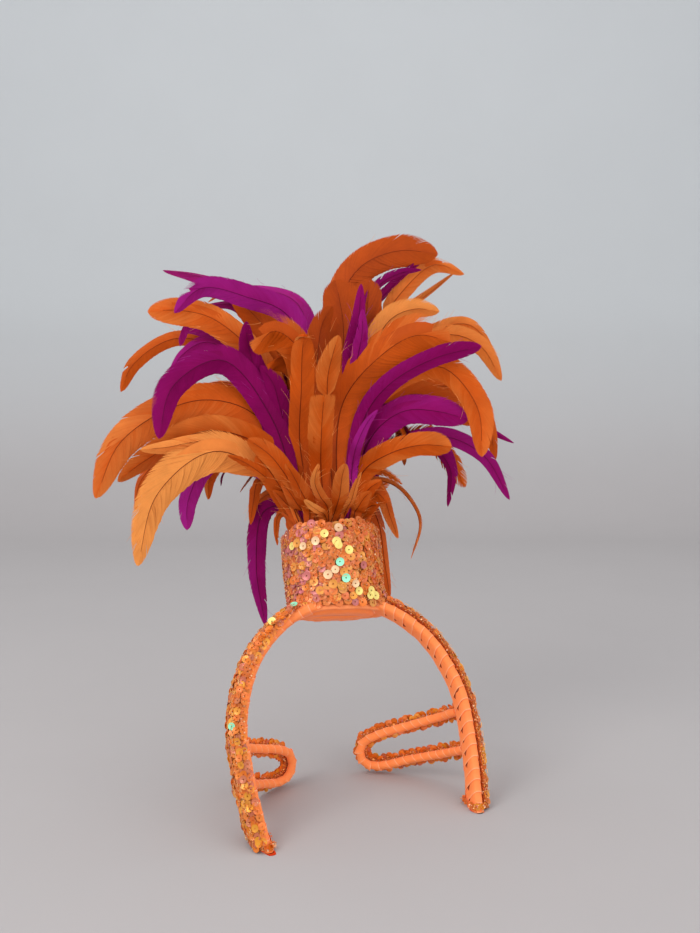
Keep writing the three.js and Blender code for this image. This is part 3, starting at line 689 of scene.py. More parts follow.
def feather_finish(name, deep, middle, pale, shine):
    """A dyed vane: uneven dye and a soft sheen, with painted light and shade: each lock paler at its outer end and
    darker across its width, and fine dark lines for the barbs and the shade between them.
    """
    material, tree, shader = new_material(name)
    # Each lock is paler towards its outer end: painted light along the vane's edges.
    tone = maths(tree, "MULTIPLY_ADD", attribute(tree, "out"), 0.12, attribute(tree, "tone"))
    lower = node(tree, "ShaderNodeMapRange")
    upper = node(tree, "ShaderNodeMapRange")
    for ramp, low, high in ((lower, 0.0, 0.5), (upper, 0.5, 1.0)):
        tree.links.new(tone, ramp.inputs["Value"])
        ramp.inputs["From Min"].default_value = low
        ramp.inputs["From Max"].default_value = high
    colour = colour_between(tree, deep, middle, lower.outputs[0])
    colour = colour_between(tree, colour, pale, upper.outputs[0])
    uneven = grouped(tree, mottle_group(), Colour=colour, Scale=60.0, Amount=0.5)
    # Each lock darkens across its width, as painted shade where it tucks under the next. Fine dark lines mark the
    # barbs and the painted shade in the grooves between them.
    lift = attribute(tree, "lift")
    fine = maths(tree, "SINE", maths(tree, "MULTIPLY", lift, 22.0))
    shade = maths(tree, "MULTIPLY_ADD", fine, 0.06, maths(tree, "MULTIPLY_ADD", lift, 0.1, 0.06))
    shade_lined = colour_between(tree, uneven.outputs["Colour"], tuple(channel * 0.6 for channel in deep), shade)
    tree.links.new(shade_lined, shader.inputs["Base Color"])
    bump(tree, shader, maths(tree, "MULTIPLY_ADD", fine, 0.4, uneven.outputs["Height"]), 0.2, 0.0002)
    shader.inputs["Roughness"].default_value = 0.55
    shader.inputs["Specular IOR Level"].default_value = shine
    return material


def sequin_finish():
    """Shiny plastic film in each sequin's own tint."""
    if "sequin" in bpy.data.materials:
        return bpy.data.materials["sequin"]
    material, tree, shader = new_material("sequin")
    uneven = grouped(tree, mottle_group(), Colour=attribute(tree, "tint", "Color"), Scale=500.0, Amount=0.3)
    tree.links.new(uneven.outputs["Colour"], shader.inputs["Base Color"])
    shader.inputs["Metallic"].default_value = 0.2
    shader.inputs["Roughness"].default_value = 0.35
    shader.inputs["Coat Weight"].default_value = 0.15
    shader.inputs["Coat Roughness"].default_value = 0.15
    return material


def thread_finish(settings):
    """Bright metallic thread."""
    if "glitter_thread" in bpy.data.materials:
        return bpy.data.materials["glitter_thread"]
    material, tree, shader = new_material("glitter_thread")
    uneven = grouped(tree, mottle_group(), Colour=(*settings.tinsel, 1), Scale=900.0, Amount=1.4)
    tree.links.new(uneven.outputs["Colour"], shader.inputs["Base Color"])
    shader.inputs["Metallic"].default_value = 0.2
    shader.inputs["Roughness"].default_value = 0.3
    return material


def glitter_finish(name, colour, dark):
    """Cloth shot with glitter thread: bright flecks on a dull ground."""
    if name in bpy.data.materials:
        return bpy.data.materials[name]
    material, tree, shader = new_material(name)
    place = node(tree, "ShaderNodeTexCoord")
    flecks = node(tree, "ShaderNodeTexVoronoi", {"feature": "F1"}, Scale=1400.0)
    tree.links.new(place.outputs["Object"], flecks.inputs["Vector"])
    split = node(tree, "ShaderNodeSeparateColor")
    tree.links.new(flecks.outputs["Color"], split.inputs[0])
    bright = node(tree, "ShaderNodeMapRange", {"interpolation_type": "SMOOTHSTEP"})
    tree.links.new(split.outputs[0], bright.inputs["Value"])
    bright.inputs["From Min"].default_value = 0.55
    bright.inputs["From Max"].default_value = 0.95
    base = colour_between(tree, dark, colour, bright.outputs[0])
    uneven = grouped(tree, mottle_group(), Colour=base, Scale=150.0, Amount=0.7)
    tree.links.new(uneven.outputs["Colour"], shader.inputs["Base Color"])
    metal = maths(tree, "MULTIPLY", bright.outputs[0], 0.7)
    tree.links.new(metal, shader.inputs["Metallic"])
    rough = node(tree, "ShaderNodeMapRange")
    tree.links.new(bright.outputs[0], rough.inputs["Value"])
    rough.inputs["To Min"].default_value = 0.75
    rough.inputs["To Max"].default_value = 0.25
    tree.links.new(rough.outputs[0], shader.inputs["Roughness"])
    bump(tree, shader, flecks.outputs["Distance"], 0.6, 0.0004)
    return material


# Settings
def length_property(name, description, default):
    return bpy.props.FloatProperty(name=name, description=description, default=default, unit="LENGTH")


def colour_property(name, description, default):
    return bpy.props.FloatVectorProperty(
        name=name, description=description, default=default, subtype="COLOR", min=0, max=1)


class RibbonSettings(bpy.types.PropertyGroup):
    pitch: length_property("Pitch", "Distance from one ribbon turn to the next", 0.0078)
    slant: length_property("Slant", "How far a turn runs along the band as it crosses it", 0.0042)
    wire_pitch: length_property("Wire pitch", "Distance between the turns on the loops", 0.0066)
    colour: colour_property("Colour", "Ribbon", (0.93, 0.235, 0.06))
    # The edge colour is a painted highlight along the proud turned edges.
    edge_highlight_colour: colour_property("Edge colour", "Turned edges of the ribbon", (1.0, 0.5, 0.27))
    # The gap colour is painted shade that shows between two turns.
    gap_shade_colour: colour_property("Gap colour", "What shows between two turns", (0.45, 0.09, 0.02))


class SequinSettings(bpy.types.PropertyGroup):
    size: length_property("Size", "Across one sequin", 0.0062)
    spacing: length_property("Spacing", "From one sequin on the cuff to the next", 0.0043)
    orange: colour_property("Orange", "Most sequins", (0.82, 0.19, 0.028))
    gold: colour_property("Gold", "Gold sequins", (0.86, 0.33, 0.045))
    mauve: colour_property("Mauve", "Mauve sequins", (0.62, 0.16, 0.14))
    mint: colour_property("Mint", "Sequins that catch the light green", (0.35, 0.95, 0.6))
    cream: colour_property("Cream", "Sequins that catch the light pale", (0.98, 0.62, 0.33))
    yellow: colour_property("Yellow", "Sequins that catch the light yellow", (1.0, 0.78, 0.2))
    thread: colour_property("Thread", "Glitter thread", (0.95, 0.4, 0.09))
    tinsel: colour_property("Tinsel", "Loose ends of glitter thread", (1.0, 0.5, 0.16))
    ground: colour_property("Ground", "Cloth under the glitter", (0.42, 0.09, 0.012))


class FeatherSettings(bpy.types.PropertyGroup):
    barb_spacing: bpy.props.FloatProperty(
        name="Barb spacing", description="Distance between barbs, as a share of their reach", default=0.14)
    camber: bpy.props.FloatProperty(
        name="Camber", description="How far each half of a vane slopes down from its shaft",
        default=math.radians(14), subtype="ANGLE")
    orange_deep: colour_property("Orange, deep", "Darkest orange dye", (0.3, 0.033, 0.003))
    orange: colour_property("Orange", "Usual orange dye", (0.64, 0.095, 0.004))
    orange_pale: colour_property("Orange, pale", "Palest orange dye", (0.95, 0.33, 0.07))
    magenta_deep: colour_property("Magenta, deep", "Darkest magenta dye", (0.14, 0.001, 0.035))
    magenta: colour_property("Magenta", "Usual magenta dye", (0.28, 0.003, 0.11))
    magenta_pale: colour_property("Magenta, pale", "Palest magenta dye", (0.4, 0.016, 0.25))


class StudioSettings(bpy.types.PropertyGroup):
    floor: colour_property("Floor", "Paper under the headdress", (0.44, 0.41, 0.395))
    backdrop: colour_property("Backdrop", "Paper behind the headdress", (0.6, 0.615, 0.61))
    key: bpy.props.FloatProperty(name="Key light", description="Watts", default=9.0)
    fill: bpy.props.FloatProperty(name="Fill light", description="Watts", default=5.0)


# The arch
def arch(offset, count):
    """Places, tangents and outward directions along the arch, in its own frame."""
    half = [(point["x"], 0, point["z"]) for point in ARCH_INSIDE]
    left = [(-x, y, z) for x, y, z in half]
    places, length = through([*left, (0, 0, CROWN_HEIGHT), *reversed(half)], count)
    along = tangents(places)
    outward = np.stack([-along[:, 2], np.zeros(count), along[:, 0]], axis=1)
    return places + outward * offset, along, outward, length


def rounded_section(width, thickness, count):
    """Places round a bar's section with soft corners."""
    angle = np.linspace(0, 2 * math.pi, count, endpoint=False)
    power = 0.6
    x = np.sign(np.cos(angle)) * np.abs(np.cos(angle)) ** power * width / 2
    z = np.sign(np.sin(angle)) * np.abs(np.sin(angle)) ** power * thickness / 2
    return x, z


def swept(name, places, side, outward, x, z, above=None):
    """A closed bar with one section along a path."""
    rings = places[:, None] + side[:, None] * x[None, :, None] + outward[:, None] * z[None, :, None]
    rings = from_band(rings)
    if above is not None:
        rings[..., 2] = np.maximum(rings[..., 2], above)
    rows, columns = rings.shape[:2]
    faces = grid_faces(rows, columns, around=True)
    last = (rows - 1) * columns
    faces += [tuple(range(columns))[::-1], tuple(last + number for number in range(columns))]
    return mesh_object(name, rings.reshape(-1, 3), faces)


def turn_shape(x, z, width, lift, slant, gap=0.0):
    """One turn of ribbon round a section: its far edge stands proud of the turn before, and its near
    edge may be drawn in on the inner face, which leaves a small gap."""
    across = np.array([0.0, 0.05, 0.5, 0.9, 0.97, 1.0, 0.97, 0.5, 0.03])
    raised = np.array([0.02, 0.12, 0.6, 0.95, 1.15, 0.9, 0.5, 0.2, -0.25]) * lift
    # Edge marks the far edge that stands proud, which the ribbon finish paints paler: a painted highlight.
    edge = np.array([0, 0, 0, 0.1, 1, 1, 1, 0, 0])
    drawn = gap * np.clip(1 - np.abs(x) / 2.9, 0, 1) * (z > 0)
    reach = np.hypot(x, z)
    shift = slant * x / np.abs(x).max()
    rings = []
    for share, height in zip(across, raised):
        grown = 1 + height / reach
        near = shift + drawn * max(0.0, 1 - share / 0.9)
        rings.append(np.stack([x * grown, (share - 0.5) * width + near, z * grown], axis=1))
    rings = np.array(rings)
    rows, columns = rings.shape[:2]
    faces = []
    for row in range(rows):
        for column in range(columns):
            beside = (column + 1) % columns
            below = ((row + 1) % rows) * columns
            faces.append((row * columns + column, below + column, below + beside, row * columns + beside))
    shape = mesh_object("turn", rings.reshape(-1, 3), faces)
    add_values(shape.data, "edge", np.repeat(edge, columns))
    return shape


def make_arch(settings):
    ribbon = ribbon_finish(settings)
    centre, along, outward, length = arch(BAND_THICKNESS / 2, 240)
    side = np.broadcast_to([0.0, 1.0, 0.0], centre.shape)
    x, z = rounded_section(BAND_WIDTH - 1.6, BAND_THICKNESS - 1.6, 24)
    core = swept("arch_core", centre, side, outward, x, z, above=FEET[2] + 0.2)
    # The core shows only between the turns and is painted dark brown: painted shade in the gaps between turns.
    shade, tree, shader = new_material("ribbon_gap")
    under = grouped(tree, mottle_group(), Colour=(*settings.gap_shade_colour, 1), Scale=300.0, Amount=0.5)
    tree.links.new(under.outputs["Colour"], shader.inputs["Base Color"])
    bump(tree, shader, under.outputs["Height"], 0.3, 0.0003)
    shader.inputs["Roughness"].default_value = 0.8
    finish_piece(core, "ribbon_band", "headband", material=shade)

    rng = np.random.default_rng(3)
    count = int(length / (settings.pitch / MM))
    shares = (np.arange(count) + 0.5 + rng.uniform(-0.06, 0.06, count)) / count
    shares = shares[(shares > 0.008) & (shares < 0.992)]
    places, directions = at_shares(centre, shares), unit(at_shares(along, shares))
    across = np.broadcast_to([0.0, 1.0, 0.0], places.shape)
    x, z = rounded_section(BAND_WIDTH - 1.1, BAND_THICKNESS - 1.1, 32)
    shapes = [turn_shape(x, z, settings.pitch / MM * 1.3, 0.65, settings.slant / MM, gap) for gap in TURN_GAPS]
    turns = repeated("ribbon_turns", {
        "place": from_band(places), "x_axis": axis_from_band(across), "y_axis": axis_from_band(directions),
        "size": np.ones((len(shares), 3)), "pick": rng.integers(0, len(TURN_GAPS), len(shares)), "looks": {},
    }, shapes, ribbon, wobble=0.03, seed=4)
    lift_to_table(turns)
    finish_piece(turns, "ribbon_band", "headband")
    make_crown_pad(ribbon)


def lift_to_table(piece):
    """Flattens what would go below the table."""
    places = np.empty(len(piece.data.vertices) * 3)
    piece.data.vertices.foreach_get("co", places)
    places = places.reshape(-1, 3)
    places[:, 2] = np.maximum(places[:, 2], (FEET[2] + 0.1) * MM)
    piece.data.vertices.foreach_set("co", places.ravel())
    piece.data.update()


# The cuff and the pad that it is sewn round
def cuff_point(angle, radius, height):
    """A place on a shape turned about the cuff's axis, drawn in towards its foot."""
    x, y = radius * np.cos(angle), radius * np.sin(angle)
    opened = smooth(height / CUFF_HEIGHT, -0.1, 0.9)
    pull = (CUFF_RADIUS - CUFF_FOOT_DEPTH) * (1 - opened)
    y = np.where(radius > pull, y * (radius - pull) / np.maximum(radius, 1e-6), 0)
    x = x + FOOT_FLARE * np.clip(np.cos(angle), 0, 1) * (1 - smooth(height, 0, 20)) * smooth(radius, 30, 33)
    wave = np.cos(angle * RIM_WAVES) * smooth(height, 0.4, CUFF_HEIGHT)
    z = height + RIM_WAVE * wave
    cosine, sine = math.cos(CUFF_TILT), math.sin(CUFF_TILT)
    tilted = np.stack([x * cosine + z * sine, y, z * cosine - x * sine], axis=-1)
    return tilted + CUFF_FOOT


def cuff_skin(radii, heights, sides):
    """Rings of a shape turned about the cuff's axis, in the row's frame."""
    angle = np.linspace(0, 2 * math.pi, sides, endpoint=False)
    rings = [cuff_point(angle, np.full(sides, radius), np.full(sides, height))
             for radius, height in zip(radii, heights)]
    return from_band(np.array(rings))


def cuff_radius(height):
    return CUFF_RADIUS + CUFF_BULGE * np.sin(np.clip(height / CUFF_HEIGHT, 0, 1) * math.pi) ** 0.7 - 0.4


def make_crown_pad(ribbon):
    """The flat ribbon-covered pad under the cuff, with soft gathers in its edge."""
    radii = np.array([0.5, 12, 20, 24.5, 27, 28.6, 29.8, 31.4, 33, 33.4, 33.2, 32, 24])
    heights = np.array([-1.2, -1.6, -2.1, -2.3, -1.6, 0.6, 0.5, -1.0, -0.9, 0.2, 1.6, 2.8, 2.8])
    sides = 96
    rings = cuff_skin(radii, heights, sides)
    angle = np.linspace(0, 2 * math.pi, sides, endpoint=False)
    gathers = (np.sin(angle * 9 + 0.6) + 0.6 * np.sin(angle * 23) + 0.4 * np.sin(angle * 41 + 2)) * 0.22
    weight = smooth(radii, 14, 33)[:, None]
    rings[..., 2] += gathers[None] * weight
    faces = grid_faces(len(radii), sides, around=True)
    faces.append(tuple(range(sides))[::-1])
    faces.append(tuple((len(radii) - 1) * sides + number for number in range(sides)))
    pad = mesh_object("crown_pad", rings.reshape(-1, 3), [face[::-1] for face in faces])
    # The outer rim is painted a little paler: a painted highlight on its lit lip.
    edge = np.repeat((radii > 32.5).astype(float) * 0.25, sides)
    add_values(pad.data, "edge", edge)
    outward_normals(pad)
    finish_piece(pad, "ribbon_band", "headband", material=ribbon)


def outward_normals(piece):
    """Turns a closed shell's faces outwards."""
    shell = bmesh.new()
    shell.from_mesh(piece.data)
    bmesh.ops.recalc_face_normals(shell, faces=shell.faces)
    shell.to_mesh(piece.data)
    shell.free()


def sequin_shape(size, name="sequin"):
    """A flat round sequin with a centre hole and a slightly turned-up rim."""
    sides = 12
    angle = np.linspace(0, 2 * math.pi, sides, endpoint=False)
    ring = np.stack([np.cos(angle), np.sin(angle)], axis=1)
    profile = [(0.18, 0.04), (0.5, 0.06), (1.0, 0.15), (1.0, 0.09), (0.5, 0.0), (0.18, -0.02)]
    places = [np.column_stack([ring * radius, np.full(sides, height)]) for radius, height in profile]
    places = np.concatenate(places) * size / 2
    rows = len(profile)
    faces = []
    for row in range(rows):
        for column in range(sides):
            beside = (column + 1) % sides
            below = ((row + 1) % rows) * sides
            faces.append((row * sides + column, below + column, below + beside, row * sides + beside))
    shape = mesh_object(name, places, faces, smooth_faces=False)
    outward_normals(shape)
    return shape


def flake_shape():
    """A tiny four-sided glitter flake."""
    angle = np.linspace(0, 2 * math.pi, 4, endpoint=False)
    ring = np.stack([np.cos(angle), np.sin(angle)], axis=1) * 0.57
    places = np.concatenate([np.column_stack([ring, np.full(4, 0.05)]), np.column_stack([ring, np.full(4, -0.05)])])
    faces = [tuple(range(4)), tuple(range(7, 3, -1))]
    faces += [(side, 4 + side, 4 + (side + 1) % 4, (side + 1) % 4) for side in range(4)]
    return mesh_object("flake", places, faces, smooth_faces=False)


def tints(settings, rng, count, mauve_share):
    """A colour for each sequin, mostly orange with gold and mauve among them."""
    draw = rng.random(count)
    mauve_share = np.broadcast_to(mauve_share, (count,))
    colours = np.tile(np.array(settings.orange), (count, 1))
    colours[draw < 0.22] = settings.gold
    colours[(draw > 0.22) & (draw < 0.22 + mauve_share)] = settings.mauve
    colours = colours * rng.uniform(0.85, 1.12, (count, 1)) + rng.uniform(-0.02, 0.02, (count, 3))
    return np.column_stack([np.clip(colours, 0, 1), np.ones(count)])


def make_cuff(settings):
    glitter = glitter_finish("glitter_cloth", settings.thread, settings.ground)
    heights = np.concatenate([np.linspace(2.4, CUFF_HEIGHT - 1.2, 22), [CUFF_HEIGHT]])
    radii = cuff_radius(heights)
    radii[-1] = CUFF_RADIUS - CUFF_WALL / 2
    inner_heights = np.linspace(CUFF_HEIGHT - 0.8, 30, 6)
    radii = np.concatenate([radii, np.full(6, CUFF_RADIUS - CUFF_WALL)])
    heights = np.concatenate([heights, inner_heights])
    sides = 120
    rings = cuff_skin(radii, heights, sides)
    cloth = mesh_object("cuff_cloth", rings.reshape(-1, 3), grid_faces(len(radii), sides, around=True))
    finish_piece(cloth, "sequin_cloth", "cuff", material=glitter)

    rng = np.random.default_rng(11)
    spacing = settings.spacing / MM
    rows = int(CUFF_HEIGHT / (spacing * 0.9))
    angles_all, heights_all = [], []
    for row in range(rows):
        height = 3.4 + (CUFF_HEIGHT - 3.0) * (row + 0.2) / rows
        around = int(2 * math.pi * CUFF_RADIUS * (0.8 + 0.2 * height / CUFF_HEIGHT) / spacing)
        angle = (np.arange(around) + 0.5 * (row % 2) + rng.uniform(-0.28, 0.28, around)) / around * 2 * math.pi
        level = np.clip(height + rng.uniform(-1.1, 1.1, around), 3.2, CUFF_HEIGHT - 0.6)
        angles_all.append(angle)
        heights_all.append(level)
    angle, level = np.concatenate(angles_all), np.concatenate(heights_all)
    skin = cuff_point(angle, cuff_radius(level), level)
    east = unit(cuff_point(angle + 0.01, cuff_radius(level), level) - skin)
    north = unit(cuff_point(angle, cuff_radius(level), level + 0.5) - skin)
    out = unit(np.cross(east, north))
    count = len(angle)
    lift = 0.55 + rng.random(count) * 0.9
    spin = rng.uniform(0, 2 * math.pi, count)[:, None]
    lay = north - out * rng.uniform(0.0, 0.16, count)[:, None]
    x_axis = unit(east * np.cos(spin) + lay * np.sin(spin))
    y_axis = unit(-east * np.sin(spin) + lay * np.cos(spin))
    tint = tints(settings, rng, count, 0.05 + 0.45 * smooth(-np.cos(angle - 0.15), 0.6, 1.0))
    # Painted highlights: the sequins that catch the light take a bright tint, stand out and lie square to the cloth.
    for number, colour in special_sequins(settings, skin + out * lift[:, None], GLINTS):
        tint[number, :3] = colour
        lift[number] = 2.2
        x_axis[number], y_axis[number] = east[number], north[number]
    size = np.repeat(rng.uniform(0.92, 1.06, count)[:, None], 3, axis=1)
    sequins = repeated("cuff_sequins", {
        "place": from_band(skin + out * lift[:, None]), "x_axis": axis_from_band(x_axis),
        "y_axis": axis_from_band(y_axis), "size": size, "pick": np.zeros(count),
        "looks": {"tint": tint},
    }, [sequin_shape(settings.size / MM)], sequin_finish(), wobble=0.1, seed=5)
    finish_piece(sequins, "sequin_cloth", "cuff")
    flecks = 4200
    angle = rng.uniform(0, 2 * math.pi, flecks)
    level = rng.uniform(2.6, CUFF_HEIGHT - 0.3, flecks)
    skin = cuff_point(angle, cuff_radius(level), level)
    out = unit(skin - cuff_point(angle, cuff_radius(level) - 4, level))
    scatter_flakes("cuff_glitter", skin + out * rng.uniform(0.8, 2.3, flecks)[:, None], settings, rng,
                   "sequin_cloth", ("cuff",))
    lines = []
    share = np.linspace(0, 1, 6)
    for angle, level in zip(rng.uniform(0, 2 * math.pi, 650), rng.uniform(4, CUFF_HEIGHT - 3, 650)):
        turn, reach = rng.uniform(0, 2 * math.pi), rng.uniform(2.5, 5.5)
        heading = turn + share * rng.uniform(-2.2, 2.2)
        angles = angle + np.cumsum(np.cos(heading)) * reach / 6 / CUFF_RADIUS
        levels = np.clip(level + np.cumsum(np.sin(heading)) * reach / 6, 3, CUFF_HEIGHT - 0.5)
        lifted = cuff_radius(levels) + 1.5 + 0.9 * np.sin(share * math.pi)
        lines.append((from_band(cuff_point(angles, lifted, levels)), np.full(6, 0.17)))
    finish_piece(tubes("cuff_threads", lines, thread_finish(settings), sides=3), "sequin_cloth", "cuff")


# Sequins given a tint of their own at places across and up in the chart's view; the mint, cream and yellow ones are
# painted highlights where they catch the light.
GLINTS = [
    ("mint", 8.5, -20), ("mint", 13.6, -33), ("yellow", 14.3, -13), ("yellow", 21.5, -41), ("yellow", 28, -41),
    ("yellow", 30.2, -44), ("yellow", 32, -46.5), ("yellow", -26, -11), ("gold", -23.8, -6),
    ("cream", -10.1, -4.5), ("yellow", -5.8, 0), ("cream", 6.2, 4), ("yellow", 5.2, -6.1), ("yellow", 7.4, -10.3),
    ("cream", -18.3, -8.4), ("cream", 5.2, -25.1), ("cream", 0.4, -28), ("gold", 9.7, -29.2), ("gold", 4.9, -36.3),
    ("mauve", -16.3, -30.2), ("cream", 20, -35.7), ("mauve", 21.9, -25),
]
BRAID_GLINTS = [("mint", -25.3, -57.6), ("mint", -64.1, -141.1), ("yellow", -36.8, -69.1)]


def special_sequins(settings, places, glints):
    """The few sequins that catch the light, found by where they show in the chart's view."""
    view = chart_view()
    world = turned(places, -LEAN_BACK)
    sight = world - view["eye"]
    depth = sight @ view["forward"]
    mouth_depth = (view["mouth"] - view["eye"]) @ view["forward"]
    flat = np.stack([sight @ view["right"], sight @ view["up"]], axis=1) / depth[:, None]
    mouth = view["mouth"] - view["eye"]
    centre = np.array([mouth @ view["right"], mouth @ view["up"]]) / mouth_depth
    chart = (flat - centre) * mouth_depth
    found = []
    for tint, across, up in glints:
        off = np.hypot(chart[:, 0] - across, chart[:, 1] - up)
        if glints is GLINTS:
            off += (depth > mouth_depth) * 1000
        found.append((int(np.argmin(off)), tuple(getattr(settings, tint))))
    return found


def scatter_flakes(name, places, settings, rng, slot, nodes):
    count = len(places)
    tint = tints(settings, rng, count, 0.04)
    # A third of the flakes are painted paler: painted glints.
    bright = rng.random(count) < 0.3
    tint[bright, :3] = tint[bright, :3] * 0.4 + np.array([0.6, 0.42, 0.24])
    size = np.repeat(rng.uniform(0.6, 1.45, count)[:, None], 3, axis=1)
    flakes = repeated(name, {
        "place": from_band(places), "x_axis": unit(rng.normal(size=(count, 3))),
        "y_axis": unit(rng.normal(size=(count, 3))), "size": size, "pick": np.zeros(count),
        "looks": {"tint": tint},
    }, [flake_shape()], sequin_finish(), wobble=1.0, seed=9)
    finish_piece(flakes, slot, *nodes)


# The sequin braids
BRAID_SHADE = np.array([1.0, 1.0, 0.5, 1.0])
FULL_BRAID = {
    "body": 1.0, "depth": 1.5, "pitch": 13.0, "mauve": 0.14,
    "lanes": [
        {"side": -0.42, "out": 1.0, "tip": 0.0}, {"side": 0.42, "out": 1.0, "tip": 0.0},
        {"side": 0.0, "out": 1.1, "tip": 0.0}, {"side": -0.86, "out": 0.45, "tip": -0.85},
        {"side": 0.86, "out": 0.45, "tip": 0.85},
    ],
}
OPEN_BRAID = {
    "body": 0.52, "depth": 2.4, "pitch": 11.5, "mauve": 0.04,
    "lanes": [
        {"side": 0.0, "out": 1.0, "tip": 0.0}, {"side": -0.7, "out": 0.5, "tip": -0.25},
        {"side": 0.7, "out": 0.5, "tip": 0.25}, {"side": -0.62, "out": -0.1, "tip": -0.1},
        {"side": 0.62, "out": -0.1, "tip": 0.1},
    ],
}


def braid_piece(name, places, along, outward, width, thickness, kind, node_name, settings, seed, keep=None):
    """A scalloped braid along a path, with sequins on its face and glitter along its edges."""
    slot = "sequin_braid"
    rng = np.random.default_rng(seed)
    glitter = glitter_finish("glitter_braid", settings.thread, settings.ground)
    side = unit(np.cross(outward, along))
    outward = unit(np.cross(along, side))
    run = np.concatenate([[0], np.cumsum(np.linalg.norm(np.diff(places, axis=0), axis=1))])
    scallops = max(1, round(run[-1] / kind["pitch"]))
    swell = np.abs(np.sin(math.pi * run / run[-1] * scallops))
    half = width / 2 - kind["depth"] * (1 - swell) + 0.12 * np.sin(run * 3.1)
    ring_angle = np.linspace(0, 2 * math.pi, 20, endpoint=False)
    section_side = np.sign(np.cos(ring_angle)) * np.abs(np.cos(ring_angle)) ** 0.6
    section_out = np.sign(np.sin(ring_angle)) * np.abs(np.sin(ring_angle)) ** 0.8
    knots = 1 + 0.12 * np.sin(run[:, None] * 4.2 + section_side[None] * 9)
    rings = (places[:, None] + side[:, None] * (half[:, None] * kind["body"] * section_side[None])[..., None]
             + outward[:, None] * (thickness / 2 * 0.82 * knots * section_out[None])[..., None])
    rings = from_band(rings)
    rings[..., 2] = np.maximum(rings[..., 2], FEET[2] + 0.1)
    rows, columns = rings.shape[:2]
    faces = grid_faces(rows, columns, around=True)
    last = (rows - 1) * columns
    faces += [tuple(range(columns))[::-1], tuple(last + number for number in range(columns))]
    body = mesh_object(name + "_cloth", rings.reshape(-1, 3), faces)
    outward_normals(body)
    finish_piece(body, slot, node_name, material=glitter)

    size = settings.size / MM
    count_along = int(run[-1] / 4.4)
    chosen = []
    for lane_number, lane in enumerate(kind["lanes"]):
        shares = (np.arange(count_along) + 0.5 * (lane_number % 2) + rng.uniform(-0.3, 0.3, count_along))
        shares = np.clip(shares / count_along, 0.012, 0.988)
        base, direction = at_shares(places, shares), unit(at_shares(along, shares))
        beside, face = unit(at_shares(side, shares)), unit(at_shares(outward, shares))
        reach = at_shares(half, shares)
        place = (base + beside * (lane["side"] * reach)[:, None]
                 + face * (lane["out"] * thickness / 2 + rng.uniform(0.1, 0.6, count_along)[:, None]))
        normal = unit(face * math.cos(lane["tip"]) + beside * math.sin(lane["tip"]))
        chosen.append((place, direction, np.cross(normal, direction)))
    place = np.concatenate([item[0] for item in chosen])
    x_axis = np.concatenate([item[1] for item in chosen])
    y_axis = np.concatenate([item[2] for item in chosen])
    world = from_band(place)
    kept = world[:, 2] > FEET[2] + size * 0.5
    if keep is not None:
        kept &= keep(place)
    place, x_axis, y_axis, world = place[kept], x_axis[kept], y_axis[kept], world[kept]
    count = len(place)
    tint = tints(settings, rng, count, kind["mauve"]) * BRAID_SHADE
    if name == "band_trim_left":
        # Painted highlights: the braid sequins that catch the light take a bright tint and stand out a little.
        for number, colour in special_sequins(settings, place, BRAID_GLINTS):
            tint[number, :3] = colour
            world[number] += axis_from_band(np.cross(x_axis[number], y_axis[number])) * 0.8
    sequins = repeated(name + "_sequins", {
        "place": world, "x_axis": axis_from_band(x_axis), "y_axis": axis_from_band(y_axis),
        "size": np.repeat(rng.uniform(0.85, 1.0, count)[:, None], 3, axis=1), "pick": np.zeros(count),
        "looks": {"tint": tint},
    }, [sequin_shape(size * 0.92)], sequin_finish(), wobble=0.28, seed=seed)
    finish_piece(sequins, slot, node_name)

    flecks = int(run[-1] * 7)
    shares = rng.uniform(0.003, 0.997, flecks)
    angle = rng.uniform(0, 2 * math.pi, flecks)
    reach = at_shares(half, shares) * kind["body"]
    across = np.sign(np.cos(angle)) * np.abs(np.cos(angle)) ** 0.45 * (reach + rng.uniform(0, 0.9, flecks))
    up = np.sin(angle) * (thickness / 2 + rng.uniform(-0.1, 0.5, flecks))
    place = (at_shares(places, shares) + unit(at_shares(side, shares)) * across[:, None]
             + unit(at_shares(outward, shares)) * up[:, None])
    world = from_band(place)
    scatter_flakes(name + "_glitter", place[world[:, 2] > FEET[2] + 0.7], settings, rng, slot, (node_name,))


def outside_cuff(places):
    """True where a place in the arch's frame is clear of the cuff's foot."""
    x = places[:, 0] - CUFF_FOOT[0]
    y = places[:, 1] - CUFF_FOOT[1]
    return (x / (CUFF_RADIUS + 2.5)) ** 2 + (y / (CUFF_FOOT_DEPTH + 2.5)) ** 2 > 1


def edge_threads(name, places, side, outward, settings, seed):
    """Short curls of glitter thread, thickest along both edges of a braid."""
    rng = np.random.default_rng(seed + 20)
    length = np.linalg.norm(np.diff(places, axis=0), axis=1).sum()
    steps = np.linspace(0, 1, 5)
    lines = []
    for start in rng.uniform(0.01, 0.96, int(length * 1.5)):
        turn = steps * rng.uniform(-3, 3) + rng.uniform(0, 2 * math.pi)
        share = start + np.cumsum(np.cos(turn)) * 0.9 / length
        reach = rng.choice([-1, 1]) * BRAID_WIDTH * rng.uniform(0.28, 0.52) + np.cumsum(np.sin(turn)) * 0.9
        reach = np.clip(reach, -BRAID_WIDTH * 0.56, BRAID_WIDTH * 0.56)
        height = BRAID_THICKNESS / 2 * (1.9 - np.abs(reach) / BRAID_WIDTH * 2) + rng.uniform(0.2, 1.0)
        share = np.clip(share, 0.005, 0.985)
        world = from_band(at_shares(places, share) + at_shares(side, share) * reach[:, None]
                          + at_shares(outward, share) * height[:, None])
        if world[:, 2].min() > FEET[2] + 1:
            lines.append((world, np.full(5, 0.2)))
    finish_piece(tubes(f"{name}_threads", lines, thread_finish(settings), sides=3), "sequin_braid", name)


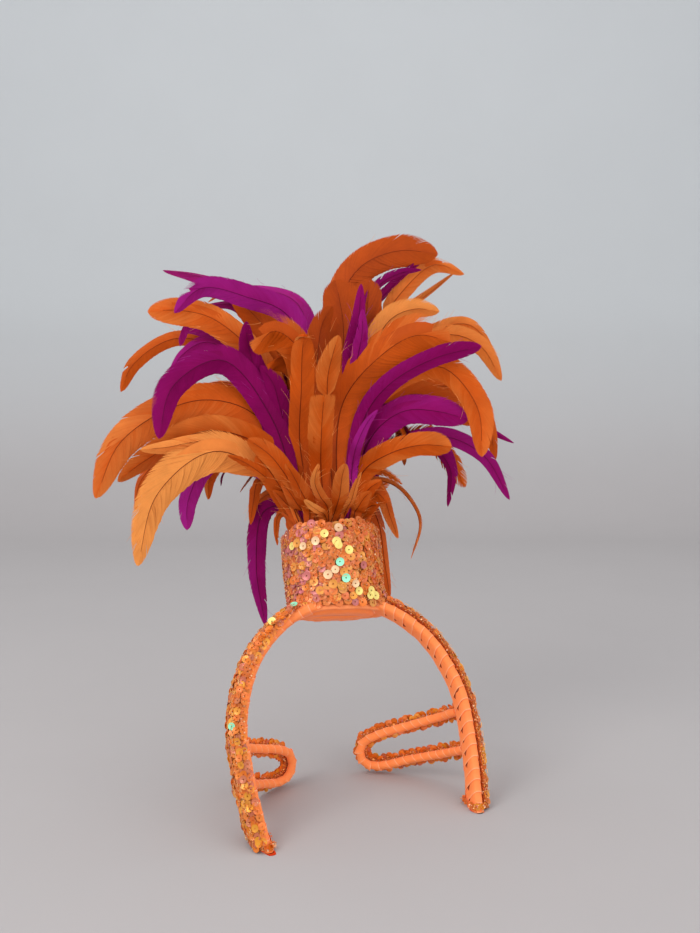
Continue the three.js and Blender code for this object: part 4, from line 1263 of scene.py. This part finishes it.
def front_fold(name, places, side, outward, settings):
    """Sequined cloth folded from the braid over the front edge of the band."""
    rng = np.random.default_rng(47)
    share = np.linspace(0, 1, len(places))
    depth = 0.6 + 4.2 * smooth(share, 0.0, 0.05) * (1 - smooth(share, 0.82, 1.0))
    top = -(BRAID_THICKNESS / 2 + GAP) + 0.8
    front = BAND_WIDTH / 2 + 0.75
    corners = np.array([[-0.4, 0.0], [0.4, 0.0], [0.4, 1.0], [-0.4, 1.0]])
    rings = (places[:, None] - side[:, None] * (front + corners[None, :, :1])
             + outward[:, None] * (top - corners[None, :, 1:] * depth[:, None, None]))
    rings = from_band(rings)
    rings[..., 2] = np.maximum(rings[..., 2], FEET[2] + 0.1)
    faces = grid_faces(len(places), 4, around=True)
    last = (len(places) - 1) * 4
    faces += [(3, 2, 1, 0), (last, last + 1, last + 2, last + 3)]
    cloth = mesh_object(f"{name}_fold", rings.reshape(-1, 3), faces, smooth_faces=False)
    outward_normals(cloth)
    finish_piece(cloth, "sequin_braid", name, material=glitter_finish("glitter_braid", settings.thread, settings.ground))

    size = settings.size / MM
    count = int(np.linalg.norm(np.diff(places, axis=0), axis=1).sum() / 3.6)
    chosen = np.clip((np.arange(count) + rng.uniform(-0.3, 0.3, count)) / count, 0.03, 0.95)
    chosen, lane = np.tile(chosen, 2), np.repeat([0.0, 1.0], count)
    count *= 2
    down = at_shares(depth, chosen) * (0.6 * lane + rng.uniform(-0.1, 0.15, count))
    tip = ((1 - lane) * 0.9)[:, None]
    face = at_shares(side, chosen) * np.cos(tip) - at_shares(outward, chosen) * np.sin(tip)
    place = (at_shares(places, chosen) - face * rng.uniform(0.6, 1.1, count)[:, None]
             - at_shares(side, chosen) * front + at_shares(outward, chosen) * (top - down)[:, None])
    along = unit(np.cross(at_shares(side, chosen), at_shares(outward, chosen)))
    sequins = repeated(f"{name}_fold_sequins", {
        "place": from_band(place), "x_axis": axis_from_band(along),
        "y_axis": axis_from_band(np.cross(-face, along)), "size": np.full((count, 3), 0.9),
        "pick": np.zeros(count), "looks": {"tint": tints(settings, rng, count, 0.16) * BRAID_SHADE},
    }, [sequin_shape(size * 0.92)], sequin_finish(), wobble=0.3, seed=48)
    finish_piece(sequins, "sequin_braid", name)
    flecks = 700
    chosen = rng.uniform(0.01, 0.98, flecks)
    place = (at_shares(places, chosen) - at_shares(side, chosen) * (front + rng.uniform(0.4, 1.4, flecks))[:, None]
             + at_shares(outward, chosen) * (top - at_shares(depth, chosen) * rng.random(flecks))[:, None])
    world = from_band(place)
    scatter_flakes(f"{name}_fold_glitter", place[world[:, 2] > FEET[2] + 0.8], settings, rng, "sequin_braid", (name,))


def foot_sequins(settings):
    """The ends of the braid, turned round the foot of each leg."""
    count = 13
    slope, level = math.sin(LEAN_BACK), math.cos(LEAN_BACK)
    for hand, name, seed in ((-1, "band_trim_left", 41), (1, "band_trim_right", 42)):
        rng = np.random.default_rng(seed)
        angle = (np.arange(count) + rng.uniform(-0.2, 0.2, count)) / count * 2 * math.pi
        x = np.sign(np.cos(angle)) * np.abs(np.cos(angle)) ** 0.6 * (BAND_THICKNESS / 2 + 0.5)
        y = np.sign(np.sin(angle)) * np.abs(np.sin(angle)) ** 0.6 * (BAND_WIDTH / 2 + 0.6)
        above = rng.uniform(3.0, 4.0, count)
        centre = hand * (ARCH_INSIDE[1]["x"] + BAND_THICKNESS / 2)
        place = np.stack([centre + x, y, (above + y * slope) / level], axis=1)
        normal = unit(np.stack([np.cos(angle) * 2, np.sin(angle), np.zeros(count)], axis=1))
        across = unit(np.cross([0.0, 0.0, 1.0], normal))
        sequins = repeated(f"{name}_foot_sequins", {
            "place": from_band(place), "x_axis": axis_from_band(across),
            "y_axis": axis_from_band(np.cross(normal, across)), "size": np.full((count, 3), 0.85),
            "pick": np.zeros(count), "looks": {"tint": tints(settings, rng, count, 0.1) * BRAID_SHADE},
        }, [sequin_shape(settings.size / MM * 0.92)], sequin_finish(), wobble=0.35, seed=seed)
        lift_to_table(sequins)
        finish_piece(sequins, "sequin_braid", name)
        spots = np.repeat(place, 16, axis=0) + np.repeat(normal, 16, axis=0) * 0.6
        spots += rng.normal(0, 1, spots.shape) * [1.0, 1.0, 1.2]
        world = from_band(spots)
        scatter_flakes(f"{name}_foot_glitter", spots[world[:, 2] > FEET[2] + 0.8], settings, rng,
                       "sequin_braid", (name,))


def make_braids(settings):
    places, along, outward, length = arch(BAND_THICKNESS + GAP + BRAID_THICKNESS / 2, 600)
    shares = np.linspace(0, 1, 600)
    foot_sequins(settings)
    for name, first, last, seed in (("band_trim_left", 0.018, 0.43, 21), ("band_trim_right", 0.582, 0.982, 22)):
        part = (shares >= first) & (shares <= last)
        braid_piece(name, places[part], along[part], outward[part], BRAID_WIDTH, BRAID_THICKNESS,
                    FULL_BRAID, name, settings, seed, keep=outside_cuff)
        side = np.broadcast_to([0.0, 1.0, 0.0], places[part].shape)
        edge_threads(name, places[part], side, outward[part], settings, seed)
        if name == "band_trim_left":
            front_fold(name, places[part], side, outward[part], settings)


# The side loops
def loop_path(count, hand):
    """The middle of a loop's wire and its outward directions, in the arch's frame."""
    way = [(point["x"], point["y"], point["z"]) for point in LOOP_WAY]
    places, length = through(way, count)
    stations = np.array(way)
    nearest = [int(np.argmin(np.linalg.norm(places - station, axis=1))) for station in stations]
    progress = np.interp(np.arange(count), nearest, [point["progress"] for point in LOOP_WAY])[:, None]
    outward = unit(unit(OUTWARD_AT_LEG) * (1 - progress) + unit(OUTWARD_AT_TIP) * progress)
    mirror = np.array([hand, 1, 1])
    return places * mirror, outward * mirror, length


def make_loops(ribbon_settings, sequin_settings):
    ribbon = ribbon_finish(ribbon_settings)
    for name, hand, seed in (("right", 1, 31), ("left", -1, 32)):
        places, outward, length = loop_path(200, hand)
        along = tangents(places)
        side = unit(np.cross(outward, along))
        out = unit(np.cross(along, side))
        angle = np.linspace(0, 2 * math.pi, 16, endpoint=False)
        core = swept(f"loop_{name}_wire", places, side, out,
                     np.cos(angle) * (WIRE_RADIUS - 0.6), np.sin(angle) * (WIRE_RADIUS - 0.6))
        outward_normals(core)
        finish_piece(core, "ribbon_wire", f"loop_{name}", material=ribbon)
        rng = np.random.default_rng(seed)
        count = int(length / (ribbon_settings.wire_pitch / MM))
        shares = (np.arange(count) + 0.5 + rng.uniform(-0.08, 0.08, count)) / count
        circle = np.linspace(0, 2 * math.pi, 20, endpoint=False)
        radius = WIRE_RADIUS - 0.45
        turn = turn_shape(np.cos(circle) * radius, np.sin(circle) * radius,
                          ribbon_settings.wire_pitch / MM * 1.4, 0.4, 1.6)
        turns = repeated(f"loop_{name}_ribbon", {
            "place": from_band(at_shares(places, shares)), "x_axis": axis_from_band(unit(at_shares(side, shares))),
            "y_axis": axis_from_band(unit(at_shares(along, shares))), "size": np.ones((count, 3)),
            "pick": np.zeros(count), "looks": {},
        }, [turn], ribbon, wobble=0.04, seed=seed)
        finish_piece(turns, "ribbon_wire", f"loop_{name}")
        offset = WIRE_RADIUS + 2 * GAP + LOOP_BRAID_THICKNESS / 2
        line = places + out * offset
        braid_piece(f"loop_trim_{name}", line, tangents(line), out, LOOP_BRAID_WIDTH, LOOP_BRAID_THICKNESS,
                    OPEN_BRAID, f"loop_trim_{name}", sequin_settings, seed + 2)


# The plume
def chart_view():
    """The directions of the chart's view, the viewer's place and the cuff's mouth, from the feet."""
    right = np.array([math.cos(VIEW_TURN), -math.sin(VIEW_TURN), 0])
    away = np.array([math.sin(VIEW_TURN), math.cos(VIEW_TURN), 0])
    forward = away * math.cos(VIEW_PITCH) - np.array([0, 0, math.sin(VIEW_PITCH)])
    eye = right * VIEWER["across"] - away * VIEWER["distance"] + np.array([0, 0, VIEWER["height"]])
    axis = np.array([math.sin(CUFF_TILT), 0, math.cos(CUFF_TILT)])
    mouth = turned(CUFF_FOOT + axis * CUFF_HEIGHT, -LEAN_BACK)
    return {"right": right, "away": away, "forward": forward, "up": np.cross(right, forward),
            "eye": eye, "mouth": mouth}


def chart_place(view, across, up, toward):
    """A place of the chart, so much nearer to the viewer, measured from the feet."""
    seen = view["right"] * across * CHART_STRETCH[across < 0] + view["up"] * (up * CHART_STRETCH[2] + CHART_RISE)
    sight = seen + view["mouth"] - view["eye"]
    depth = sight @ view["forward"]
    return view["eye"] + sight * (1 - toward / depth)


def vane_share(along, taper):
    swell = VANE_FOOT + (1 - VANE_FOOT) * smooth(along, -0.05, VANE_FULL)
    past = np.clip((along - (1 - taper)) / taper, 0, 1)
    return np.maximum(TIP_SHARE, swell * (1 - past**2) ** 0.55)


def feather(points, square, look):
    """Everything that the parts of one feather are laid along."""
    places, length = through(points, SAMPLES + 1)
    places = places + FEET
    along = tangents(places)
    side = carried(along, unit(np.cross(square, along[0])))
    share = np.linspace(0, 1, SAMPLES + 1)
    angle = np.radians(look["face"] + look["twist"] * smooth(share, 0.5, 1))[:, None]
    across = side * np.cos(angle) + np.cross(along, side) * np.sin(angle)
    half = np.maximum(look["width"] * vane_share(share, look["taper"]) / 2, 0.3)
    half = np.maximum(half * np.clip((share - look["bare"]) / 0.15 + (look["bare"] == 0), 0, 1) ** 0.5, 0.3)
    return {**look, "place": places, "along": along, "across": across, "above": np.cross(across, along),
            "half": half, "length": length}


def charted_feathers(view):
    rows = [{**PLAIN_VANE, **dict(zip(FEATHER_COLUMNS, row))}
            for row in (*UPPER_LEFT, *LOWER_LEFT, *CENTRE, *UPPER_RIGHT, *LOWER_RIGHT, *FOOT_FILL)]
    made = []
    for row in rows:
        depths = [row["toward"] * share for share in TOWARD_SHARES]
        root_depth = min(max(row["toward"] / 2, -ROOT_REACH), ROOT_REACH)
        lean = QUILL_DEPTH * math.tan(LEAN_BACK)
        points = [
            chart_place(view, row["root"] * 0.6, -QUILL_DEPTH, root_depth * 0.6 + depths[0] + lean),
            chart_place(view, row["root"] * ROOT_SPREAD, 2, root_depth * 0.7 + depths[1]),
            chart_place(view, row["rise_across"], row["rise_up"], depths[2]),
            chart_place(view, row["crest_across"], row["crest_up"], depths[3]),
            chart_place(view, row["fall_across"], row["fall_up"], depths[4]),
            chart_place(view, row["tip_across"], row["tip_up"], depths[5]),
        ]
        made.append(feather(points, view["forward"], row))
    return made


def back_feathers(view):
    """The feathers behind: two even tiers, and looser ones that fill between them."""
    rng = np.random.default_rng(29)
    plans = []
    for tier in BACK_TIERS:
        for number in range(tier["feathers"]):
            bearing = BACK_FAN * (2 * number / (tier["feathers"] - 1) - 1)
            plans.append({**tier, "bearing": bearing + rng.uniform(-0.05, 0.05), "up": tier["up"] + rng.uniform(-7, 7),
                          "droop": tier["droop"] + rng.uniform(-12, 12), "width": BACK_WIDTH + rng.uniform(-3, 2),
                          "drift": rng.uniform(-7, 7)})
    for number in range(BACK_FILL):
        bearing = math.radians(85) * (2 * (number + rng.uniform(0.1, 0.9)) / BACK_FILL - 1)
        plans.append({"bearing": bearing, "ring": rng.uniform(12, 24), "up": rng.uniform(40, 130),
                      "reach": rng.uniform(46, 76), "droop": rng.uniform(6, 45), "width": rng.uniform(12, 19),
                      "drift": rng.uniform(6, 30) * rng.choice([-1, 1], p=[0.25, 0.75]) * np.sign(bearing)})
    for number in range(BACK_LOW):
        bearing = math.radians(66) * (2 * (number + rng.uniform(0.2, 0.8)) / BACK_LOW - 1)
        plans.append({"bearing": bearing, "ring": rng.uniform(22, 26), "up": rng.uniform(26, 66),
                      "reach": rng.uniform(30, 46), "droop": rng.uniform(-14, 14), "width": rng.uniform(14, 21),
                      "drift": rng.uniform(-8, 8)})
    made = []
    for number, plan in enumerate(plans):
        outward = (view["right"] * math.sin(plan["bearing"]) * BACK_SPREAD
                   + view["away"] * math.cos(plan["bearing"]))
        drift = view["right"] * plan["drift"]
        lean = view["away"] * QUILL_DEPTH * math.tan(LEAN_BACK)
        points = [view["mouth"] + outward * plan["ring"] / 2 - lean - np.array([0, 0, QUILL_DEPTH])]
        for share, rise, fall in ((0, 0, 0), (0.25, 0.62, 0), (0.6, 1, 0), (0.85, 1, 0.4), (1, 1, 1)):
            radius = plan["ring"] + (plan["reach"] - plan["ring"]) * share
            up = 2 + plan["up"] * rise - plan["droop"] * fall
            points.append(view["mouth"] + outward * radius + drift * share**2 + np.array([0, 0, up]))
        look = {**PLAIN_VANE, "dye": "magenta" if rng.random() < 0.3 else "orange", "width": plan["width"],
                "taper": rng.uniform(0.15, 0.3), "face": rng.uniform(-20, 20), "twist": 0,
                "tone": rng.uniform(0.35, 0.65)}
        made.append(feather(points, -outward, look))
    return made


def barb_shape(upward, spacing, thin, sweep):
    """One lock of barbs, one unit out from the shaft and one towards the tip. Locks a spacing apart
    overlap like tiles, so their ends make one smooth edge, and thin ones stand apart like hairs."""
    out = np.array([0.0, 0.3, 0.62, 0.88, 1.0])
    forward = sweep * (0.45 * out + 0.55 * out**2)
    half = 0.75 * spacing * np.array([1.0, 1.0, 1.0, 0.97, 0.6])
    if thin:
        half = 0.7 * spacing * np.array([1.0, 0.65, 0.3, 0.2, 0.1])
    bulge = 0.1 * out * (1 - out)
    rows = [np.stack([out, forward + sign * half, (bulge - sign * 0.008) * upward], axis=1) for sign in (-1, 1)]
    count = len(out)
    faces = [(number, number + 1, count + number + 1, count + number) for number in range(count - 1)]
    if upward < 0:
        faces = [face[::-1] for face in faces]
    shape = mesh_object("lock", np.concatenate(rows) / MM, faces)
    # Lift runs across each lock and out along it; the feather finish paints shade and light from them.
    add_values(shape.data, "lift", np.concatenate([np.zeros(count), np.ones(count)]))
    add_values(shape.data, "out", np.concatenate([out, out]))
    return shape


def split_edge(share, length, rng):
    """Moves places along a vane's edge apart where it splits, and says which lock each is in."""
    borders = np.sort(rng.uniform(0.15, 0.97, rng.integers(4, 9)))
    borders = np.concatenate([[0], borders, [1.02]])
    gaps = rng.choice([0.2, 0.5, 1.0, 2.4], len(borders), p=[0.35, 0.3, 0.22, 0.13]) / length
    gaps[0] = gaps[-1] = 0
    lock = np.clip(np.searchsorted(borders, share) - 1, 0, len(borders) - 2)
    low, high = borders[lock], borders[lock + 1]
    within = (share - low) / (high - low)
    low, high = low + gaps[lock] / 2, high - gaps[lock + 1] / 2
    return np.clip(low + (high - low) * within, 0, 1), lock


def rim_of(item, share, reach, slope, hand):
    """The edge of one half of a vane."""
    return (at_shares(item["place"], share)
            + at_shares(item["across"], share) * (hand * math.cos(slope) * reach)[:, None]
            - at_shares(item["above"], share) * (math.sin(slope) * reach)[:, None])


def edge_opening(item, start, rim, forward):
    """How much closer locks must lie where the edge of the vane turns away from them."""
    onward = unit(at_shares(item["along"], start))
    reach = rim - at_shares(item["place"], start)
    along = (reach * onward).sum(1)
    off = reach - onward * along[:, None]
    wide = np.maximum(np.linalg.norm(off, axis=1), 0.8)
    ahead = 1.55 * np.maximum(along, 0.2 * forward)
    lie = unit(off + onward * ahead[:, None])
    crossing = np.linalg.norm(np.cross(lie, unit(np.gradient(rim, axis=0))), axis=1)
    return np.clip(crossing * np.hypot(wide, ahead) / wide, 0.3, 3.5)


def half_vane(item, hand, rng, settings):
    """Places, directions and sizes for the locks of barbs on one side of a feather."""
    length, slope = item["length"], settings.camber
    end = np.linspace(0.1 + item["bare"] * 0.95, 1, 400)
    half = at_shares(item["half"], end)
    forward = half * (0.75 + 0.75 * end + 0.7 * smooth(end, 0.8, 1.0) + 0.6 * item["groove"])
    start = np.maximum.accumulate(np.maximum(end - forward / length, 0.04 + item["bare"]))
    rim = rim_of(item, end, half, slope, hand)
    run = np.linalg.norm(np.diff(rim, axis=0), axis=1) * edge_opening(item, start, rim, forward)[1:]
    steps = np.maximum(np.diff(start) * length, run)
    scale = np.maximum(forward, 4.0)
    count = np.concatenate([[0], np.cumsum(steps / (settings.barb_spacing * scale[1:]))])
    chosen = np.arange(0, count[-1]) + 0.5
    at, scale = np.interp(chosen, count, start), np.interp(chosen, count, scale)
    edge, lock = split_edge(np.interp(chosen, count, end), length, rng)
    rough = rng.normal(0, 0.02, 16)[lock] + rng.normal(0, 0.01 + 0.3 * item["fray"], len(at))
    rim = rim_of(item, edge, at_shares(item["half"], edge) * (1 + rough), slope, hand)
    place, onward = at_shares(item["place"], at), unit(at_shares(item["along"], at))
    side = at_shares(item["across"], at) * hand
    above = at_shares(item["above"], at)
    out = unit(side * math.cos(slope) - above * math.sin(slope))
    away = rim - place
    wide = np.maximum((away * out).sum(1), 0.3)
    rest = away - out * wide[:, None]
    ahead = (rest * onward).sum(1)
    lift = rest - onward * ahead[:, None]
    ahead = np.maximum(ahead, 0.2 * scale)
    lift *= np.minimum(1, 0.5 * ahead / np.maximum(np.linalg.norm(lift, axis=1), 1e-6))[:, None]
    rest = onward * ahead[:, None] + lift
    long = np.linalg.norm(rest, axis=1)
    sweep = np.abs(LOCK_SWEEPS[None] - (long / scale)[:, None]).argmin(1)
    # Each feather is deeper towards its base: partly its own deeper dye, partly painted shade deep in the plume.
    pale = item["tone"] * (0.62 + 0.38 * smooth(at, 0.3, 0.62))
    tone = (pale + 0.05 * np.sin(at * 8 + rng.uniform(0, 6))
            + rng.normal(0, 0.035, 16)[lock] + rng.normal(0, 0.018, len(at)))
    height = wide * (1 + item["groove"] * smooth(at, 0.3, 0.6) * rng.normal(0, 1, len(at)))
    thin = rng.random(len(at)) < item["fray"] * smooth(at, 0.2, 0.6)
    return {
        "place": place, "x_axis": out, "y_axis": unit(rest),
        "size": np.stack([wide, np.maximum(long / LOCK_SWEEPS[sweep], scale * 0.8), height], axis=1) * MM,
        "pick": sweep * 4 + 2 * thin + (hand < 0),
        "tone": np.clip(tone, 0, 1),
    }


def vane_web(items, settings):
    """Narrow sheets under the barbs that close the middle of each vane."""
    lanes = np.array([-0.6, -0.3, 0, 0.3, 0.6])
    places, faces, tone = [], [], []
    for item in items:
        steps = np.linspace(0.04 + item["bare"] * 1.05, 0.93, 40)
        base, side, above = (at_shares(item[key], steps) for key in ("place", "across", "above"))
        half = at_shares(item["half"], steps)
        slope = np.abs(lanes) * math.sin(settings.camber)
        rows = (base[:, None] + side[:, None] * (half[:, None] * lanes[None])[..., None]
                - above[:, None] * (half[:, None] * slope[None] + 0.12)[..., None])
        faces += grid_faces(len(steps), len(lanes), first=sum(len(block) for block in places))
        places.append(rows.reshape(-1, 3))
        # The sheets take a deeper tone than their feather: painted shade under the barbs.
        tone.append(np.full(rows.shape[0] * rows.shape[1], item["tone"] * 0.8))
    return np.concatenate(places), faces, np.concatenate(tone)


def make_plume(settings):
    view = chart_view()
    items = charted_feathers(view) + back_feathers(view)
    finishes = {
        "orange": feather_finish("feather_orange", settings.orange_deep, settings.orange,
                                 settings.orange_pale, 0.1),
        "magenta": feather_finish("feather_magenta", settings.magenta_deep, settings.magenta,
                                  settings.magenta_pale, 0.04),
    }
    rng = np.random.default_rng(17)
    for dye, material in finishes.items():
        chosen = [item for item in items if item["dye"] == dye]
        groups = [chosen[::2], chosen[1::2]] if dye == "orange" else [chosen]
        for number, group in enumerate(groups):
            halves = [half_vane(item, hand, rng, settings) for item in group for hand in (1, -1)]
            points = {key: np.concatenate([half[key] for half in halves])
                      for key in ("place", "x_axis", "y_axis", "size", "pick")}
            points["looks"] = {"tone": np.concatenate([half["tone"] for half in halves])}
            shapes = [barb_shape(upward, settings.barb_spacing, thin, sweep)
                      for sweep in LOCK_SWEEPS for thin in (False, True) for upward in (1, -1)]
            barbs = repeated(f"{dye}_barbs_{number + 1}", points, shapes, material, wobble=0.0, seed=6)
            finish_piece(barbs, "feather", "plume")
        places, faces, tone = vane_web(chosen, settings)
        web = mesh_object(f"{dye}_vanes", places, faces)
        add_values(web.data, "tone", tone)
        finish_piece(web, "feather", "plume", material=material)
    make_shafts(items)
    make_strays(items, settings)


def make_shafts(items):
    share = np.linspace(0, 0.955, 40)
    for dye, colour in (("orange", (0.17, 0.02, 0.002)), ("magenta", (0.1, 0.001, 0.035))):
        lines = []
        for item in items:
            if item["dye"] != dye:
                continue
            radius = (0.42 * (1 - share) ** 0.8 + 0.07) * min(1.0, item["width"] / 20 + 0.2)
            lines.append((at_shares(item["place"], share) + at_shares(item["above"], share) * 0.12, radius))
        material, tree, shader = new_material(f"shaft_{dye}")
        uneven = grouped(tree, mottle_group(), Colour=(*colour, 1), Scale=90.0, Amount=0.6)
        tree.links.new(uneven.outputs["Colour"], shader.inputs["Base Color"])
        shader.inputs["Roughness"].default_value = 0.6
        shader.inputs["Specular IOR Level"].default_value = 0.1
        finish_piece(tubes(f"{dye}_shafts", lines, material), "feather", "plume")


def make_strays(items, settings):
    """Single loose barbs that stand away from the edges of the vanes."""
    rng = np.random.default_rng(23)
    share = np.linspace(0, 1, 6)[:, None]
    for dye, colour in (("orange", settings.orange_pale), ("magenta", settings.magenta_pale)):
        lines = []
        for item in items:
            if item["dye"] != dye:
                continue
            for hand in rng.choice([-1, 1], 9):
                at = np.array([rng.uniform(0.3 + item["bare"] * 0.6, 0.93)])
                half = at_shares(item["half"], at)[0]
                side, onward, above = (at_shares(item[key], at)[0] for key in ("across", "along", "above"))
                root = at_shares(item["place"], at)[0] + side * hand * half * 0.85 + above * 0.3
                lean = unit(side * hand * rng.uniform(0.15, 0.6) + onward + above * rng.normal(0, 0.15))
                bend = side * hand * rng.uniform(-0.1, 0.35)
                reach = rng.uniform(4, 11)
                lines.append((root + reach * (lean * share + bend * share**2), 0.13 - 0.08 * share[:, 0]))
        material, tree, shader = new_material(f"stray_{dye}")
        uneven = grouped(tree, mottle_group(), Colour=(*colour, 1), Scale=90.0, Amount=0.6)
        tree.links.new(uneven.outputs["Colour"], shader.inputs["Base Color"])
        shader.inputs["Roughness"].default_value = 0.6
        finish_piece(tubes(f"{dye}_strays", lines, material, sides=3), "feather", "plume")


# The stage
def make_stage(settings):
    view = chart_view()
    low, high = FEET[2] * MM, 2.2
    run = np.linspace(0, math.pi / 2, 10)
    depth, bend = 1.1, 0.35
    profile = [(-2.0, 0.0), (depth, 0.0)]
    profile += [(depth + bend * math.sin(angle), bend * (1 - math.cos(angle))) for angle in run[1:]]
    profile.append((depth + bend, high))
    right, away = view["right"], view["away"]
    middle = FEET * MM
    places = []
    for back, up in profile:
        for across in (-3.0, 3.0):
            spot = middle + right * across + away * back
            places.append((spot[0], spot[1], low + up))
    faces = grid_faces(len(profile), 2)
    floor = mesh_object("studio_sweep", np.array(places) / MM, faces)
    material, tree, shader = new_material("studio_paper")
    place = node(tree, "ShaderNodeTexCoord")
    height = node(tree, "ShaderNodeSeparateXYZ")
    tree.links.new(place.outputs["Object"], height.inputs[0])
    rise = node(tree, "ShaderNodeMapRange", {"interpolation_type": "SMOOTHSTEP"})
    tree.links.new(height.outputs["Z"], rise.inputs["Value"])
    rise.inputs["From Max"].default_value = 0.45
    colour = colour_between(tree, settings.floor, settings.backdrop, rise.outputs[0])
    uneven = grouped(tree, mottle_group(), Colour=colour, Scale=6.0, Amount=0.05)
    tree.links.new(uneven.outputs["Colour"], shader.inputs["Base Color"])
    shader.inputs["Roughness"].default_value = 0.9
    floor.data.materials.append(material)

    def area_light(name, place, target, size, energy, colour=(1, 1, 1)):
        data = bpy.data.lights.new(name, "AREA")
        data.shape = "DISK"
        data.size = size
        data.energy = energy
        data.color = colour
        light = bpy.data.objects.new(name, data)
        bpy.context.scene.collection.objects.link(light)
        look_along(light, np.array(place), np.array(target) - np.array(place))

    centre = (FEET + np.array([0, 60, 200])) * MM
    area_light("key", centre + right * -0.9 - away * 0.9 + np.array([0, 0, 1.0]), centre, 0.9, settings.key)
    area_light("fill", centre + right * 0.8 - away * 1.1 + np.array([0, 0, 0.15]), centre, 1.2, settings.fill)
    area_light("top", centre + away * 0.2 + np.array([0, 0, 1.5]), centre, 1.2, settings.fill)
    world = bpy.data.worlds.new("studio")
    world.use_nodes = True
    world.node_tree.nodes["Background"].inputs[0].default_value = (0.9, 0.93, 1.0, 1)
    world.node_tree.nodes["Background"].inputs[1].default_value = 0.9
    bpy.context.scene.world = world
    bpy.context.scene.view_settings.view_transform = "Standard"

    data = bpy.data.cameras.new("camera")
    data.lens = LENS
    data.sensor_width = 36
    camera = bpy.data.objects.new("camera", data)
    bpy.context.scene.collection.objects.link(camera)
    look_along(camera, (view["eye"] + FEET) * MM, view["forward"])
    bpy.context.scene.camera = camera


def look_along(thing, place, direction):
    thing.location = place
    thing.rotation_euler = Vector(direction).to_track_quat("-Z", "Y").to_euler()


# Operators
class HEADDRESS_OT_stage(bpy.types.Operator):
    """Floor, lights and camera"""
    bl_idname = "headdress.stage"
    bl_label = "Studio"

    def execute(self, context):
        make_stage(context.scene.headdress_studio)
        return {"FINISHED"}


class HEADDRESS_OT_arch(bpy.types.Operator):
    """The ribbon-wrapped arch and the pad on its crown"""
    bl_idname = "headdress.arch"
    bl_label = "Arch"

    def execute(self, context):
        make_arch(context.scene.headdress_ribbon)
        return {"FINISHED"}


class HEADDRESS_OT_loops(bpy.types.Operator):
    """The ribbon-wrapped side loops and their sequin braids"""
    bl_idname = "headdress.loops"
    bl_label = "Side loops"

    def execute(self, context):
        make_loops(context.scene.headdress_ribbon, context.scene.headdress_sequins)
        return {"FINISHED"}


class HEADDRESS_OT_braids(bpy.types.Operator):
    """The sequin braids on the outside of the arch"""
    bl_idname = "headdress.braids"
    bl_label = "Arch braids"

    def execute(self, context):
        make_braids(context.scene.headdress_sequins)
        return {"FINISHED"}


class HEADDRESS_OT_cuff(bpy.types.Operator):
    """The sequin cuff"""
    bl_idname = "headdress.cuff"
    bl_label = "Cuff"

    def execute(self, context):
        make_cuff(context.scene.headdress_sequins)
        return {"FINISHED"}


class HEADDRESS_OT_plume(bpy.types.Operator):
    """The tail feathers"""
    bl_idname = "headdress.plume"
    bl_label = "Plume"

    def execute(self, context):
        make_plume(context.scene.headdress_feathers)
        return {"FINISHED"}


OPERATORS = (HEADDRESS_OT_stage, HEADDRESS_OT_arch, HEADDRESS_OT_loops, HEADDRESS_OT_braids,
             HEADDRESS_OT_cuff, HEADDRESS_OT_plume)


class HEADDRESS_PT_panel(bpy.types.Panel):
    """Everything that dresses the headdress"""
    bl_label = "Headdress"
    bl_idname = "HEADDRESS_PT_panel"
    bl_space_type = "VIEW_3D"
    bl_region_type = "UI"
    bl_category = "Headdress"

    def draw(self, context):
        for operator in OPERATORS:
            self.layout.operator(operator.bl_idname)
        for name in SETTINGS:
            group = getattr(context.scene, name)
            for key in group.__annotations__:
                self.layout.prop(group, key)


SETTINGS = {
    "headdress_ribbon": RibbonSettings,
    "headdress_sequins": SequinSettings,
    "headdress_feathers": FeatherSettings,
    "headdress_studio": StudioSettings,
}


def register():
    for name, group in SETTINGS.items():
        bpy.utils.register_class(group)
        setattr(bpy.types.Scene, name, bpy.props.PointerProperty(type=group))
    for part in (*OPERATORS, HEADDRESS_PT_panel):
        bpy.utils.register_class(part)


def unregister():
    for part in reversed((*OPERATORS, HEADDRESS_PT_panel)):
        bpy.utils.unregister_class(part)
    for name, group in reversed(SETTINGS.items()):
        delattr(bpy.types.Scene, name)
        bpy.utils.unregister_class(group)


def main():
    register()
    for operator in OPERATORS:
        getattr(bpy.ops.headdress, operator.bl_idname.split(".")[1])()


if __name__ == "__main__":
    main()
